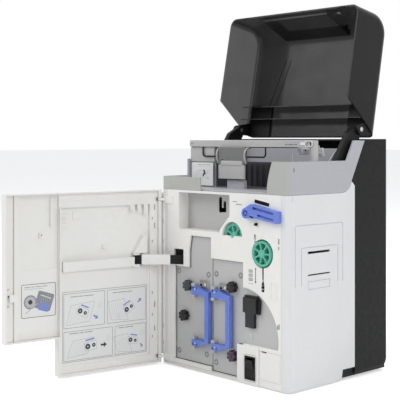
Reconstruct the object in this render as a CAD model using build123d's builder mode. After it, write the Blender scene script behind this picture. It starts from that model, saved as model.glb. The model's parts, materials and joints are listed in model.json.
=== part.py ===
from build123d import *
import os
from math import radians, tan

os.makedirs("parts", exist_ok=True)

# An office card printer on four feet, drawn about the middle of its base: +X is its right side,
# -Y its front and +Z up.  The front door and the top hood are modelled shut and swung to their
# open rest pose as they are written.

# ---------------------------------------------------------------- driving dimensions (mm)
BODY_WIDTH = 316.0
BODY_DEPTH = 264.0
BODY_HEIGHT = 413.0          # desk to the top of the rear cover
SPLIT_HEIGHT = 321.6         # where the upper unit meets the fascia and the side panels
TRIM_HEIGHT = 376.0          # top edge of the side trims, which the hood shuts down on
FOOT_HEIGHT = 5.0
WALL = 3.0
CORNER_RADIUS = 9.0
SEAM = 0.4                   # gap between two covers
GAP = 0.3                    # gap between a moving piece and what it rests beside
PIN_FIT = 0.05               # radial running clearance of a pin

DOOR_THICKNESS = 20.0
DOOR_OPEN = 98.0             # degrees from shut
DOOR_NOTCH_WIDTH = 98.0      # corner left off so that the power switch stays in reach
DOOR_NOTCH_HEIGHT = 66.0
HOOD_DEPTH = 164.0           # along the rim, front to back
HOOD_HEIGHT = 90.0
HOOD_OPEN = 101.0            # degrees from shut
CASSETTE_DEPTH = 116.0
CARD_WIDTH = 54.0

SIDE_X = BODY_WIDTH / 2
FRONT_Y = -BODY_DEPTH / 2
BACK_Y = BODY_DEPTH / 2
INNER_X = SIDE_X - WALL


def front_plane(y):
    """A plane across the printer at depth y: sketch x and y are X and Z, extrusion runs to the front."""
    return Plane(origin=(0, y, 0), x_dir=(1, 0, 0), z_dir=(0, -1, 0))


def side_plane(x):
    """A plane along the printer at width x: sketch x and y are Y and Z, extrusion runs to the right."""
    return Plane(origin=(x, 0, 0), x_dir=(0, 1, 0), z_dir=(1, 0, 0))


def level_plane(z):
    """A level plane at height z: sketch x and y are X and Y, extrusion runs up."""
    return Plane.XY.offset(z)


def turned_about(point, axis_angles):
    """The placement that turns a piece by the given angles about lines through a point."""
    x, y, z = point
    return Location((x, y, z)) * Location((0, 0, 0), axis_angles) * Location((-x, -y, -z))


def save(builder, name, pose=Location()):
    """Label a finished piece, put it in its rest pose and write it."""
    piece = builder.part.moved(pose)
    piece.label = name
    export_step(piece, f"parts/{name}.step")


def slab(x_low, x_high, y_low, y_high, z_low, z_high, mode=Mode.ADD):
    """A rectangular block between two corners, inside the open part."""
    with Locations(((x_low + x_high) / 2, (y_low + y_high) / 2, (z_low + z_high) / 2)):
        Box(x_high - x_low, y_high - y_low, z_high - z_low, mode=mode)


# ---------------------------------------------------------------- base pan and feet
PAN_WALL = 2.0
PAN_RIM = 22.0
PAN_BOTTOM = FOOT_HEIGHT
FLOOR = PAN_BOTTOM + PAN_WALL
FASCIA_WALL = 4.0
FASCIA_BACK = FRONT_Y + FASCIA_WALL
PAN_X = INNER_X - SEAM
PAN_FRONT = FASCIA_BACK + SEAM
PAN_REAR = BACK_Y - WALL - SEAM
PAN_GATE_LEFT, PAN_GATE_RIGHT = -124.0, 88.0   # the front rim is left off where the cassettes slide out
FOOT_RADIUS = 12.0
FOOT_INSET_X = 33.0
FOOT_FRONT_Y = FRONT_Y + 30.0
FOOT_REAR_Y = BACK_Y - 42.0
FOOT_SPOTS = [(side * (SIDE_X - FOOT_INSET_X), y) for side in (-1, 1) for y in (FOOT_FRONT_Y, FOOT_REAR_Y)]

with BuildPart() as base_pan:
    slab(-PAN_X, PAN_X, PAN_FRONT, PAN_REAR, PAN_BOTTOM, PAN_BOTTOM + PAN_RIM)
    fillet(base_pan.edges().filter_by(Axis.Z), 5.0)
    slab(-PAN_X + PAN_WALL, PAN_X - PAN_WALL, PAN_FRONT + PAN_WALL, PAN_REAR - PAN_WALL,
         FLOOR, PAN_BOTTOM + PAN_RIM, mode=Mode.SUBTRACT)
    slab(PAN_GATE_LEFT, PAN_GATE_RIGHT, PAN_FRONT - PAN_WALL, PAN_FRONT + 2 * PAN_WALL,
         FLOOR, PAN_BOTTOM + 2 * PAN_RIM, mode=Mode.SUBTRACT)
save(base_pan, "base_pan")

with BuildPart() as feet:
    with BuildSketch(level_plane(0)):
        with Locations(FOOT_SPOTS):
            Circle(FOOT_RADIUS)
    extrude(amount=FOOT_HEIGHT)
    fillet(feet.edges().group_by(Axis.Z)[0], 1.0)
save(feet, "feet")

# ---------------------------------------------------------------- rear cover
COVER_FRONT = 37.0           # where its straight front edge meets the side panels
COVER_STEP_Y = 29.0          # foot of the slanted edge behind the trims
COVER_STEP_Z = 341.5
COVER_STEP_DROP = 8.5
COVER_TOP_FRONT = 66.0       # head of the slanted edge
COVER_BOTTOM = FOOT_HEIGHT
COVER_FOOT_RADIUS = 18.0
VENT_LENGTH = 60.0
VENT_WIDTH = 3.0
VENT_PITCH = 8.0
INLET_X = -105.0
INLET_Z = 42.0
INLET_WIDTH = 28.0
INLET_HEIGHT = 22.0
INLET_DEPTH = 24.0
PORT_X = 60.0
PORT_Z = 46.0
PORT_WIDTH = 62.0
PORT_HEIGHT = 24.0

with BuildPart() as rear_cover:
    with BuildSketch(side_plane(-SIDE_X)) as cover_side:
        with BuildLine():
            Polyline(
                (COVER_FRONT, COVER_BOTTOM),
                (COVER_FRONT, COVER_STEP_Z - COVER_STEP_DROP),
                (COVER_STEP_Y, COVER_STEP_Z),
                (COVER_TOP_FRONT, BODY_HEIGHT),
                (BACK_Y, BODY_HEIGHT),
                (BACK_Y, COVER_BOTTOM),
                close=True,
            )
        make_face()
        fillet(cover_side.vertices().group_by(Axis.X)[-1].sort_by(Axis.Y)[0], COVER_FOOT_RADIUS)
    extrude(amount=BODY_WIDTH)
    fillet(rear_cover.edges().filter_by(Axis.Z).group_by(Axis.Y)[-1], CORNER_RADIUS)
    slab(-INNER_X, INNER_X, FRONT_Y, BACK_Y - WALL, -WALL, BODY_HEIGHT - WALL, mode=Mode.SUBTRACT)
    with BuildSketch(front_plane(BACK_Y + WALL)):
        with Locations((0, BODY_HEIGHT * 0.62)):
            with GridLocations(VENT_LENGTH + 12.0, VENT_PITCH, 2, 9):
                SlotOverall(VENT_LENGTH, VENT_WIDTH)
        with Locations((INLET_X, INLET_Z)):
            Rectangle(INLET_WIDTH, INLET_HEIGHT)
        with Locations((PORT_X, PORT_Z)):
            Rectangle(PORT_WIDTH, PORT_HEIGHT)
    extrude(amount=3 * WALL, mode=Mode.SUBTRACT)
    with BuildSketch(side_plane(-SIDE_X - WALL)):
        with Locations((BACK_Y - 45.0, BODY_HEIGHT * 0.3)):
            with GridLocations(1.0, VENT_PITCH, 1, 9):
                SlotOverall(VENT_LENGTH * 0.8, VENT_WIDTH)
    extrude(amount=3 * WALL, mode=Mode.SUBTRACT)
save(rear_cover, "rear_cover")

# ---------------------------------------------------------------- side panels and upper trims
PANEL_BOTTOM = 3.0
PANEL_TOP = SPLIT_HEIGHT - SEAM
PANEL_EDGE_X = SIDE_X - 17.0 # inner edge of the strip that wraps round the front corner
PANEL_REAR = COVER_FRONT - SEAM
PANEL_RISE_Y = 5.0           # where the top edge starts to climb behind the trim
PANEL_NOTCH_Z = 20.0
PANEL_NOTCH_Y = 4.0
PANEL_NOTCH_SLANT = 3.0
RISE_Y = COVER_STEP_Y - 0.8
RISE_Z = COVER_STEP_Z - 1.2
RISE_MIDDLE = (20.0, SPLIT_HEIGHT + 5.9)
COLUMN_FRONT_Y = 14.0
COLUMN_TOP_Y = 34.0
COLUMN_TOP = 410.5
SLANT = (COVER_TOP_FRONT - COVER_STEP_Y) / (BODY_HEIGHT - COVER_STEP_Z)


def corner_panel(profile, edge_x, side):
    """A side cover: its outline from the side, a strip that wraps round the front corner, hollow behind."""
    with BuildPart() as panel:
        with BuildSketch(side_plane(side * edge_x)):
            add(profile)
        extrude(amount=side * (SIDE_X - edge_x))
        corner = panel.edges().filter_by(Axis.Z).group_by(Axis.Y)[0].sort_by(Axis.X)[-1 if side > 0 else 0]
        fillet(corner, CORNER_RADIUS)
        with BuildSketch(level_plane(-WALL)) as hollow:
            with Locations((side * (INNER_X - BODY_WIDTH / 2), FRONT_Y + WALL + BODY_DEPTH / 2)):
                Rectangle(BODY_WIDTH, BODY_DEPTH)
            inner_corner = hollow.vertices().group_by(Axis.Y)[0].sort_by(Axis.X)[-1 if side > 0 else 0]
            fillet(inner_corner, CORNER_RADIUS - WALL)
        extrude(amount=BODY_HEIGHT + 2 * WALL, mode=Mode.SUBTRACT)
    return panel.part


with BuildSketch() as panel_outline:
    with BuildLine():
        climb = ThreePointArc((PANEL_RISE_Y, PANEL_TOP), (RISE_MIDDLE[0], RISE_MIDDLE[1]), (RISE_Y, RISE_Z))
        Polyline(
            climb @ 1,
            (PANEL_REAR, COVER_STEP_Z - COVER_STEP_DROP - SEAM),
            (PANEL_REAR, PANEL_NOTCH_Z),
            (PANEL_NOTCH_Y, PANEL_NOTCH_Z),
            (PANEL_NOTCH_Y - PANEL_NOTCH_SLANT, PANEL_BOTTOM),
            (FRONT_Y, PANEL_BOTTOM),
            (FRONT_Y, PANEL_TOP),
            climb @ 0,
        )
    make_face()

GROOVE = 1.2                 # width and depth of the lines moulded in the right panel
ARCH_FRONT = -117.0
ARCH_REAR = 4.0
ARCH_TOP = 271.5
ARCH_FOOT = 172.0
LOOP_FRONT = -102.0
LOOP_REAR = -9.0
LOOP_TOP = 234.6
SLOT_Y = -57.7               # middle of the card slots
SLOT_LENGTH = CARD_WIDTH + 2.0
UPPER_SLOT_Z = 225.8
UPPER_SLOT_HEIGHT = 4.0
LOWER_SLOT_Z = 189.0
LOWER_SLOT_HEIGHT = 2.4
FRAME_Z = 172.0
FRAME_HEIGHT = 14.0

with BuildPart() as right_side_panel:
    add(corner_panel(panel_outline.sketch, PANEL_EDGE_X, 1))
    with BuildSketch(side_plane(SIDE_X - GROOVE)):
        with BuildLine() as arches:
            FilletPolyline((ARCH_FRONT, ARCH_FOOT), (ARCH_FRONT, ARCH_TOP), (ARCH_REAR, ARCH_TOP),
                           (ARCH_REAR, ARCH_FOOT), radius=4.0)
            FilletPolyline((LOOP_FRONT, ARCH_FOOT), (LOOP_FRONT, LOOP_TOP), (LOOP_REAR, LOOP_TOP),
                           (LOOP_REAR, ARCH_FOOT), radius=3.0)
        trace(arches.line, line_width=GROOVE)
        with Locations((SLOT_Y, FRAME_Z)):
            Rectangle(SLOT_LENGTH, FRAME_HEIGHT)
            Rectangle(SLOT_LENGTH - 2 * GROOVE, FRAME_HEIGHT - 2 * GROOVE, mode=Mode.SUBTRACT)
    extrude(amount=GROOVE, mode=Mode.SUBTRACT)
    with BuildSketch(side_plane(INNER_X)):
        with Locations((SLOT_Y, UPPER_SLOT_Z)):
            Rectangle(SLOT_LENGTH, UPPER_SLOT_HEIGHT)
        with Locations((SLOT_Y, LOWER_SLOT_Z)):
            Rectangle(SLOT_LENGTH, LOWER_SLOT_HEIGHT)
    extrude(amount=WALL, mode=Mode.SUBTRACT)
save(right_side_panel, "right_side_panel")

with BuildPart() as left_side_panel:
    add(corner_panel(panel_outline.sketch, PANEL_EDGE_X, -1))
save(left_side_panel, "left_side_panel")

TRIM_RETURN_X = 109.0        # the front strip of the right trim narrows from here upwards
TRIM_RETURN_TOP_X = 121.0
LOW_WALL_HEIGHT = 345.0      # the low front wall on the left
LOW_WALL_X = -53.0
HOPPER_FRONT = -68.0         # face of the recessed hopper front
TRIM_SLOPE_Y = COLUMN_TOP_Y + (COVER_TOP_FRONT - COVER_STEP_Y) - 4.0


def trim_outline(front_top):
    """A trim from the side: level top edge, slanted column at the back, curved underside at the rear."""
    with BuildSketch() as outline:
        with BuildLine():
            curve = ThreePointArc(
                (PANEL_RISE_Y, SPLIT_HEIGHT),
                (RISE_MIDDLE[0] - SEAM, RISE_MIDDLE[1] + SEAM),
                (RISE_Y - SEAM, RISE_Z + SEAM),
            )
            Polyline(
                curve @ 1,
                (COVER_STEP_Y - SEAM * 1.5 + SLANT * (COLUMN_TOP - COVER_STEP_Z), COLUMN_TOP),
                (COLUMN_TOP_Y, COLUMN_TOP),
                (COLUMN_FRONT_Y, TRIM_HEIGHT),
                (HOPPER_FRONT, TRIM_HEIGHT),
                (HOPPER_FRONT, front_top),
                (FRONT_Y, front_top),
                (FRONT_Y, SPLIT_HEIGHT),
                curve @ 0,
            )
        make_face()
    return outline.sketch


with BuildPart() as right_trim:
    add(corner_panel(trim_outline(TRIM_HEIGHT - 0.01), TRIM_RETURN_X, 1))
    with BuildSketch(front_plane(FRONT_Y + CORNER_RADIUS)):
        with BuildLine():
            lip = ThreePointArc(
                (TRIM_RETURN_X - 1.0, SPLIT_HEIGHT - 1.0),
                (TRIM_RETURN_X + 3.0, SPLIT_HEIGHT + 28.0),
                (TRIM_RETURN_TOP_X, TRIM_HEIGHT + 1.0),
            )
            Polyline(lip @ 1, (TRIM_RETURN_X - 1.0, TRIM_HEIGHT + 1.0), lip @ 0)
        make_face()
    extrude(amount=2 * CORNER_RADIUS, mode=Mode.SUBTRACT)
save(right_trim, "right_trim")

with BuildPart() as left_trim:
    add(corner_panel(trim_outline(LOW_WALL_HEIGHT), -LOW_WALL_X, -1))
save(left_trim, "left_trim")

# ---------------------------------------------------------------- front fascia
FASCIA_X = PANEL_EDGE_X - SEAM
FASCIA_TOP = SPLIT_HEIGHT - SEAM
PLATE_FRONT = FRONT_Y + 5.0          # face of the cassette plates and of the lever plate
OPENING_MARGIN = 1.0
FILM_LEFT, FILM_RIGHT = -120.0, -26.0
FILM_BOTTOM, FILM_SHOULDER, FILM_TOP = 16.0, 183.0, 240.0
FILM_STEP_X, FILM_STEP_Z, FILM_TAB_X = -82.0, 215.0, -77.0
RIBBON_LEFT, RIBBON_RIGHT = -24.0, 53.0
RIBBON_BOTTOM, RIBBON_TOP = 9.0, 204.0
RIBBON_STEP_X, RIBBON_STEP_Z = 40.0, 66.0
SECTOR_X, SECTOR_Z, SECTOR_RADIUS = 52.0, 80.0, 83.0
SECTOR_BOTTOM = 68.0
WINDOW_LEFT, WINDOW_RIGHT = -110.0, 21.0
WINDOW_BOTTOM, WINDOW_TOP = 251.0, 317.0
WINDOW_DEPTH = 24.0
UPPER_WHEEL = (27.5, 247.5)
LOWER_WHEEL = (99.0, 223.0)
WHEEL_RADIUS = 21.5
WHEEL_HOLE_RADIUS = WHEEL_RADIUS + 2.5
CUP_WALL = 2.0
CUP_DEPTH = 14.0
SWITCH_X, SWITCH_Z = 73.0, 30.0
SWITCH_WIDTH, SWITCH_HEIGHT = 20.0, 36.0
FLAP_LEFT, FLAP_RIGHT = 92.0, 139.0
FLAP_BOTTOM, FLAP_TOP = 14.0, 62.0
FLAP_THICKNESS = 3.0
FLAP_HINGE_X = FLAP_RIGHT - SEAM - FLAP_THICKNESS / 2
FLAP_HINGE_Y = FRONT_Y + FLAP_THICKNESS / 2
FLAP_PIN = 0.9
FLAP_CORNER = 8.0
LATCH_X, LATCH_Z = 68.0, 289.0       # pivot of the blue locking lever
SHAFT_RADIUS = 4.0
STAY_SLOT_LEFT, STAY_SLOT_RIGHT = -SIDE_X + 35.0, -SIDE_X + 61.0
STAY_BOTTOM, STAY_TOP = 186.5, 202.5
STAY_SLOT_HEIGHT = 28.0
BOSS_LEFT, BOSS_RIGHT = 42.0, 91.0     # raised surround of the power switch
BOSS_TOP = 66.0
FRAME_SPOT = (125.0, 164.0)            # raised frame under the lower wheel
FRAME_WIDTH, FRAME_RISE = 14.0, 28.0
BOSS_PROUD = 2.5

film_outline = [
    (FILM_LEFT, FILM_BOTTOM), (FILM_LEFT, FILM_SHOULDER), (FILM_STEP_X, FILM_SHOULDER), (FILM_STEP_X, FILM_STEP_Z),
    (FILM_TAB_X, FILM_TOP), (FILM_RIGHT, FILM_TOP), (FILM_RIGHT, FILM_BOTTOM),
]
ribbon_outline = [
    (RIBBON_LEFT, RIBBON_BOTTOM), (RIBBON_LEFT, RIBBON_TOP), (RIBBON_RIGHT, RIBBON_TOP),
    (RIBBON_RIGHT, RIBBON_STEP_Z), (RIBBON_STEP_X, RIBBON_STEP_Z), (RIBBON_STEP_X, RIBBON_BOTTOM),
]
window_outline = [
    (WINDOW_LEFT, WINDOW_BOTTOM), (WINDOW_LEFT, WINDOW_TOP), (WINDOW_RIGHT, WINDOW_TOP),
    (WINDOW_RIGHT, WINDOW_BOTTOM + 30.0), (-2.0, WINDOW_BOTTOM + 6.0), (-4.0, WINDOW_BOTTOM),
]


def draw(points, plane, radius=0.0, grow=0.0):
    """A closed outline through the points, drawn on a plane, with rounded corners and grown by an offset."""
    with BuildSketch(plane) as outline:
        with BuildLine():
            Polyline(*points, close=True)
        make_face()
        if radius:
            fillet(outline.vertices(), radius)
        if grow:
            offset(amount=grow, kind=Kind.INTERSECTION)
    return outline.sketch


with BuildPart() as front_fascia:
    slab(-FASCIA_X, FASCIA_X, FRONT_Y, FASCIA_BACK, PANEL_BOTTOM, FASCIA_TOP)
    slab(BOSS_LEFT, BOSS_RIGHT, FRONT_Y - BOSS_PROUD, FRONT_Y, PANEL_BOTTOM, BOSS_TOP)
    with BuildSketch(front_plane(FASCIA_BACK)):
        with Locations(UPPER_WHEEL, LOWER_WHEEL):
            Circle(WHEEL_HOLE_RADIUS + CUP_WALL)
    extrude(amount=-(CUP_DEPTH - FASCIA_WALL))
    extrude(draw(window_outline, front_plane(FASCIA_BACK), grow=CUP_WALL), amount=-(WINDOW_DEPTH - FASCIA_WALL))
    window = draw(window_outline, front_plane(FRONT_Y + WINDOW_DEPTH + WALL))
    extrude(window, amount=WINDOW_DEPTH + 2 * WALL, mode=Mode.SUBTRACT)
    with BuildSketch(front_plane(FRONT_Y + CUP_DEPTH - CUP_WALL)):
        with Locations(LOWER_WHEEL):
            Circle(WHEEL_HOLE_RADIUS)
    extrude(amount=CUP_DEPTH, mode=Mode.SUBTRACT)
    with BuildSketch(front_plane(FRONT_Y + CUP_DEPTH - CUP_WALL)):
        with Locations(UPPER_WHEEL):
            Circle(WHEEL_HOLE_RADIUS)
    extrude(amount=CUP_DEPTH - CUP_WALL - FASCIA_WALL, mode=Mode.SUBTRACT)
    with BuildSketch(front_plane(FASCIA_BACK)):
        with Locations(UPPER_WHEEL):
            Circle(WHEEL_HOLE_RADIUS)
            Rectangle(4 * WHEEL_RADIUS, 2 * WHEEL_RADIUS, align=(Align.CENTER, Align.MAX), mode=Mode.SUBTRACT)
    extrude(amount=FASCIA_WALL, mode=Mode.SUBTRACT)
    with BuildSketch(front_plane(FRONT_Y)):
        with Locations(FRAME_SPOT):
            Rectangle(FRAME_WIDTH, FRAME_RISE)
            Rectangle(FRAME_WIDTH - 3.0, FRAME_RISE - 3.0, mode=Mode.SUBTRACT)
    extrude(amount=0.8)
    for cassette_outline in (film_outline, ribbon_outline):
        cassette_hole = draw(cassette_outline, front_plane(FASCIA_BACK), grow=OPENING_MARGIN)
        extrude(cassette_hole, amount=FASCIA_WALL, mode=Mode.SUBTRACT)
    with BuildSketch(front_plane(FASCIA_BACK)):
        with Locations((SECTOR_X, SECTOR_Z)):
            Circle(SECTOR_RADIUS)
        with Locations((RIBBON_RIGHT, SECTOR_BOTTOM)):
            Rectangle(BODY_WIDTH, BODY_HEIGHT, align=(Align.MIN, Align.MIN), mode=Mode.INTERSECT)
    extrude(amount=FASCIA_WALL, mode=Mode.SUBTRACT)
    with BuildSketch(front_plane(FASCIA_BACK)):
        with Locations((SWITCH_X, SWITCH_Z)):
            Rectangle(SWITCH_WIDTH, SWITCH_HEIGHT)
        with Locations(((STAY_SLOT_LEFT + STAY_SLOT_RIGHT) / 2, STAY_BOTTOM - GAP)):
            Rectangle(STAY_SLOT_RIGHT - STAY_SLOT_LEFT, STAY_SLOT_HEIGHT, align=(Align.CENTER, Align.MIN))
        with Locations((82.0, 248.5), (136.0, 245.0), (136.0, 107.0)):
            SlotOverall(9.0, 3.0, rotation=90)
    extrude(amount=FASCIA_WALL + 2 * BOSS_PROUD, mode=Mode.SUBTRACT)
    with BuildSketch(front_plane(FASCIA_BACK)) as flap_hole:
        with Locations(((FLAP_LEFT + FLAP_RIGHT) / 2, (FLAP_BOTTOM + FLAP_TOP) / 2)):
            Rectangle(FLAP_RIGHT - FLAP_LEFT, FLAP_TOP - FLAP_BOTTOM)
        fillet(flap_hole.vertices().group_by(Axis.X)[0].sort_by(Axis.Y)[0], FLAP_CORNER)
    extrude(amount=FASCIA_WALL, mode=Mode.SUBTRACT)
    with Locations(front_plane(FRONT_Y).location * Location((LATCH_X, LATCH_Z, 0))):
        Hole(radius=SHAFT_RADIUS + PIN_FIT, depth=FASCIA_WALL)
    for wheel in (UPPER_WHEEL, LOWER_WHEEL):
        with Locations(front_plane(FRONT_Y).location * Location((wheel[0], wheel[1], 0))):
            Hole(radius=SHAFT_RADIUS + PIN_FIT, depth=2 * CUP_DEPTH)
    with BuildSketch(level_plane(FLAP_BOTTOM - 3.0)):
        with Locations((FLAP_HINGE_X, FLAP_HINGE_Y)):
            Circle(FLAP_PIN)
    extrude(amount=FLAP_TOP - FLAP_BOTTOM + 6.0, mode=Mode.SUBTRACT)
save(front_fascia, "front_fascia")

# ---------------------------------------------------------------- plates and blocks behind the fascia
PLATE = 1.5
CHASSIS_FRONT = FRONT_Y + 5.0 + CASSETTE_DEPTH + 4.0   # front face of the chassis wall
CHASSIS_WALL = 2.0
CHASSIS_X = 148.0
CHASSIS_TOP = SPLIT_HEIGHT - 6.0
FLANGE = 22.0
KEY_X, KEY_Z = -26.0, 297.0          # hooked slot in the window plate
LEVER_X, LEVER_Z = 71.0, 104.0       # pivot of the black paddle lever

with BuildPart() as window_plate:
    outline = draw(window_outline, front_plane(FRONT_Y + WINDOW_DEPTH))
    extrude(outline, amount=-PLATE)
    with BuildSketch(front_plane(FRONT_Y + WINDOW_DEPTH)):
        with Locations((KEY_X, KEY_Z)):
            SlotOverall(28.0, 8.0, rotation=90)
        with Locations((KEY_X + 6.0, KEY_Z - 9.0)):
            SlotOverall(18.0, 8.0)
        with Locations((KEY_X + 11.0, KEY_Z - 3.0)):
            SlotOverall(20.0, 7.0, rotation=90)
    extrude(amount=-PLATE, mode=Mode.SUBTRACT)
save(window_plate, "window_plate")

with BuildPart() as lever_plate:
    with BuildSketch(front_plane(FASCIA_BACK + PLATE)):
        with Locations((SECTOR_X, SECTOR_Z)):
            Circle(SECTOR_RADIUS + 5.0)
        with Locations((RIBBON_RIGHT + 1.0, SECTOR_BOTTOM - 5.0)):
            Rectangle(BODY_WIDTH, BODY_HEIGHT, align=(Align.MIN, Align.MIN), mode=Mode.INTERSECT)
    extrude(amount=PLATE)
    with Locations(front_plane(PLATE_FRONT).location * Location((LEVER_X, LEVER_Z, 0))):
        Hole(radius=SHAFT_RADIUS + PIN_FIT, depth=3 * PLATE)
save(lever_plate, "lever_plate")

with BuildPart() as chassis_wall:
    slab(-CHASSIS_X, CHASSIS_X, CHASSIS_FRONT, CHASSIS_FRONT + CHASSIS_WALL, FLOOR, CHASSIS_TOP)
    slab(-CHASSIS_X, CHASSIS_X, CHASSIS_FRONT, CHASSIS_FRONT + FLANGE, FLOOR, FLOOR + CHASSIS_WALL)
    slab(-CHASSIS_X, CHASSIS_X, CHASSIS_FRONT, CHASSIS_FRONT + FLANGE, CHASSIS_TOP - CHASSIS_WALL, CHASSIS_TOP)
    for side in (-1, 1):
        edge = side * (CHASSIS_X - CHASSIS_WALL / 2)
        slab(edge - CHASSIS_WALL / 2, edge + CHASSIS_WALL / 2, CHASSIS_FRONT, CHASSIS_FRONT + FLANGE,
             FLOOR, CHASSIS_TOP)
    for spot in (UPPER_WHEEL, LOWER_WHEEL):
        with Locations(front_plane(CHASSIS_FRONT).location * Location((spot[0], spot[1], 0))):
            Hole(radius=SHAFT_RADIUS + PIN_FIT, depth=2 * CHASSIS_WALL)
save(chassis_wall, "chassis_wall")

RAIL_SPAN = 10.0
RAIL_FRONT = FASCIA_BACK + 4.0
FILM_RAIL_XS = (FILM_LEFT + 12.0, FILM_RIGHT - 12.0)
RIBBON_RAIL_XS = (RIBBON_LEFT + 8.0, RIBBON_STEP_X - 10.0)

with BuildPart() as cassette_rails:
    for rail_xs, rest_z in ((FILM_RAIL_XS, FILM_BOTTOM), (RIBBON_RAIL_XS, RIBBON_BOTTOM)):
        for x in rail_xs:
            slab(x - RAIL_SPAN / 2, x + RAIL_SPAN / 2, RAIL_FRONT, CHASSIS_FRONT, FLOOR, rest_z - GAP)
save(cassette_rails, "cassette_rails")

# ---------------------------------------------------------------- deck and card hopper of the upper unit
DECK_WALL = 2.5
DECK_BOTTOM = SPLIT_HEIGHT
DECK_REAR = 60.0
DECK_X = INNER_X - SEAM
HOPPER_LEFT, HOPPER_RIGHT = -90.0, 120.0
HOPPER_WALL = 2.5
HOPPER_TOP = 371.0
HOPPER_BACK = -12.0
HOPPER_FACE = HOPPER_FRONT + 10.0
HOPPER_FACE_DEPTH = 8.0
HOPPER_PROUD = 4.0
BAR_BOTTOM, BAR_TOP = 399.0, 411.0
BAR_FRONT, BAR_REAR = HOPPER_FRONT + 2.0, HOPPER_FRONT + 14.0
BAR_X = SIDE_X - 5.0
POST_WIDTH = 5.0

with BuildPart() as upper_deck:
    slab(-DECK_X, DECK_X, FASCIA_BACK, DECK_REAR, DECK_BOTTOM, DECK_BOTTOM + DECK_WALL)
    fillet(upper_deck.edges().filter_by(Axis.Z), CORNER_RADIUS - WALL)
save(upper_deck, "upper_deck")
DECK_TOP = DECK_BOTTOM + DECK_WALL

with BuildPart() as hopper_front:
    slab(-DECK_X, HOPPER_LEFT, HOPPER_FACE, HOPPER_FACE + HOPPER_FACE_DEPTH, DECK_TOP, HOPPER_TOP)
    slab(-DECK_X, HOPPER_LEFT, HOPPER_FACE - HOPPER_PROUD, HOPPER_FACE + HOPPER_FACE_DEPTH, HOPPER_TOP, BAR_BOTTOM)
    chamfer(hopper_front.edges().filter_by(Axis.X).group_by(Axis.Z)[-1].sort_by(Axis.Y)[0], 1.5)
save(hopper_front, "hopper_front")

with BuildPart() as card_hopper:
    slab(HOPPER_LEFT + GAP, HOPPER_RIGHT, HOPPER_FRONT + 10.0, HOPPER_BACK, DECK_TOP, HOPPER_TOP)
    slab(HOPPER_LEFT + GAP + HOPPER_WALL, HOPPER_RIGHT - HOPPER_WALL, HOPPER_FRONT, HOPPER_BACK - HOPPER_WALL,
         DECK_TOP + HOPPER_WALL, HOPPER_TOP, mode=Mode.SUBTRACT)
    with BuildSketch(level_plane(DECK_TOP + HOPPER_WALL)):
        with Locations(((HOPPER_LEFT + HOPPER_RIGHT) / 2, HOPPER_BACK - HOPPER_WALL - 2.0)):
            with GridLocations(14.0, 1.0, 11, 1):
                Rectangle(2.0, 4.0)
    extrude(amount=HOPPER_TOP - DECK_TOP - HOPPER_WALL - 4.0)
save(card_hopper, "card_hopper")

LINER_WALL = 2.0
LINER_X = 137.0
LINER_FRONT = HOPPER_BACK + 1.0
LINER_TOP = 396.0

with BuildPart() as upper_liner:
    slab(-LINER_X, LINER_X, LINER_FRONT, DECK_REAR, DECK_TOP, LINER_TOP)
    slab(-LINER_X + LINER_WALL, LINER_X - LINER_WALL, LINER_FRONT - LINER_WALL, DECK_REAR - LINER_WALL,
         DECK_TOP + LINER_WALL, LINER_TOP, mode=Mode.SUBTRACT)
    with BuildSketch(side_plane(-LINER_X)) as liner_slope:
        Polygon((LINER_FRONT, LINER_TOP), (LINER_FRONT, HOPPER_TOP), (LINER_FRONT + 26.0, LINER_TOP), align=None)
    extrude(amount=2 * LINER_X, mode=Mode.SUBTRACT)
save(upper_liner, "upper_liner")

with BuildPart() as hopper_bar:
    slab(-BAR_X, BAR_X, BAR_FRONT, BAR_REAR, BAR_BOTTOM, BAR_TOP)
    slab(BAR_X - POST_WIDTH, BAR_X, BAR_FRONT, BAR_REAR, DECK_TOP, BAR_BOTTOM)
    chamfer(hopper_bar.edges().filter_by(Axis.X).group_by(Axis.Z)[-1], 1.5)
save(hopper_bar, "hopper_bar")

BAIL_RADIUS = 1.4
BAIL_LEFT, BAIL_RIGHT = -118.0, 42.0
BAIL_BOTTOM = 381.0
BAIL_Y = HOPPER_FRONT + 3.6

with BuildPart() as hopper_bail:
    with BuildLine() as bail_path:
        FilletPolyline((BAIL_LEFT, BAIL_Y, BAR_BOTTOM), (BAIL_LEFT, BAIL_Y, BAIL_BOTTOM),
                       (BAIL_RIGHT, BAIL_Y, BAIL_BOTTOM), (BAIL_RIGHT, BAIL_Y, BAR_BOTTOM), radius=6.0)
    with BuildSketch(level_plane(BAR_BOTTOM)):
        with Locations((BAIL_LEFT, BAIL_Y)):
            Circle(BAIL_RADIUS)
    sweep(path=bail_path.line)
save(hopper_bail, "hopper_bail")

FLAP_X_LOW, FLAP_X_HIGH = -66.0, 0.0
FLAP_PIN_Z = 371.5
FLAP_PIN_Y = HOPPER_FRONT - 3.0
FLAP_PIN_RADIUS = 1.5
KNUCKLE = 3.4
FLAP_HANG = 30.0

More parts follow.
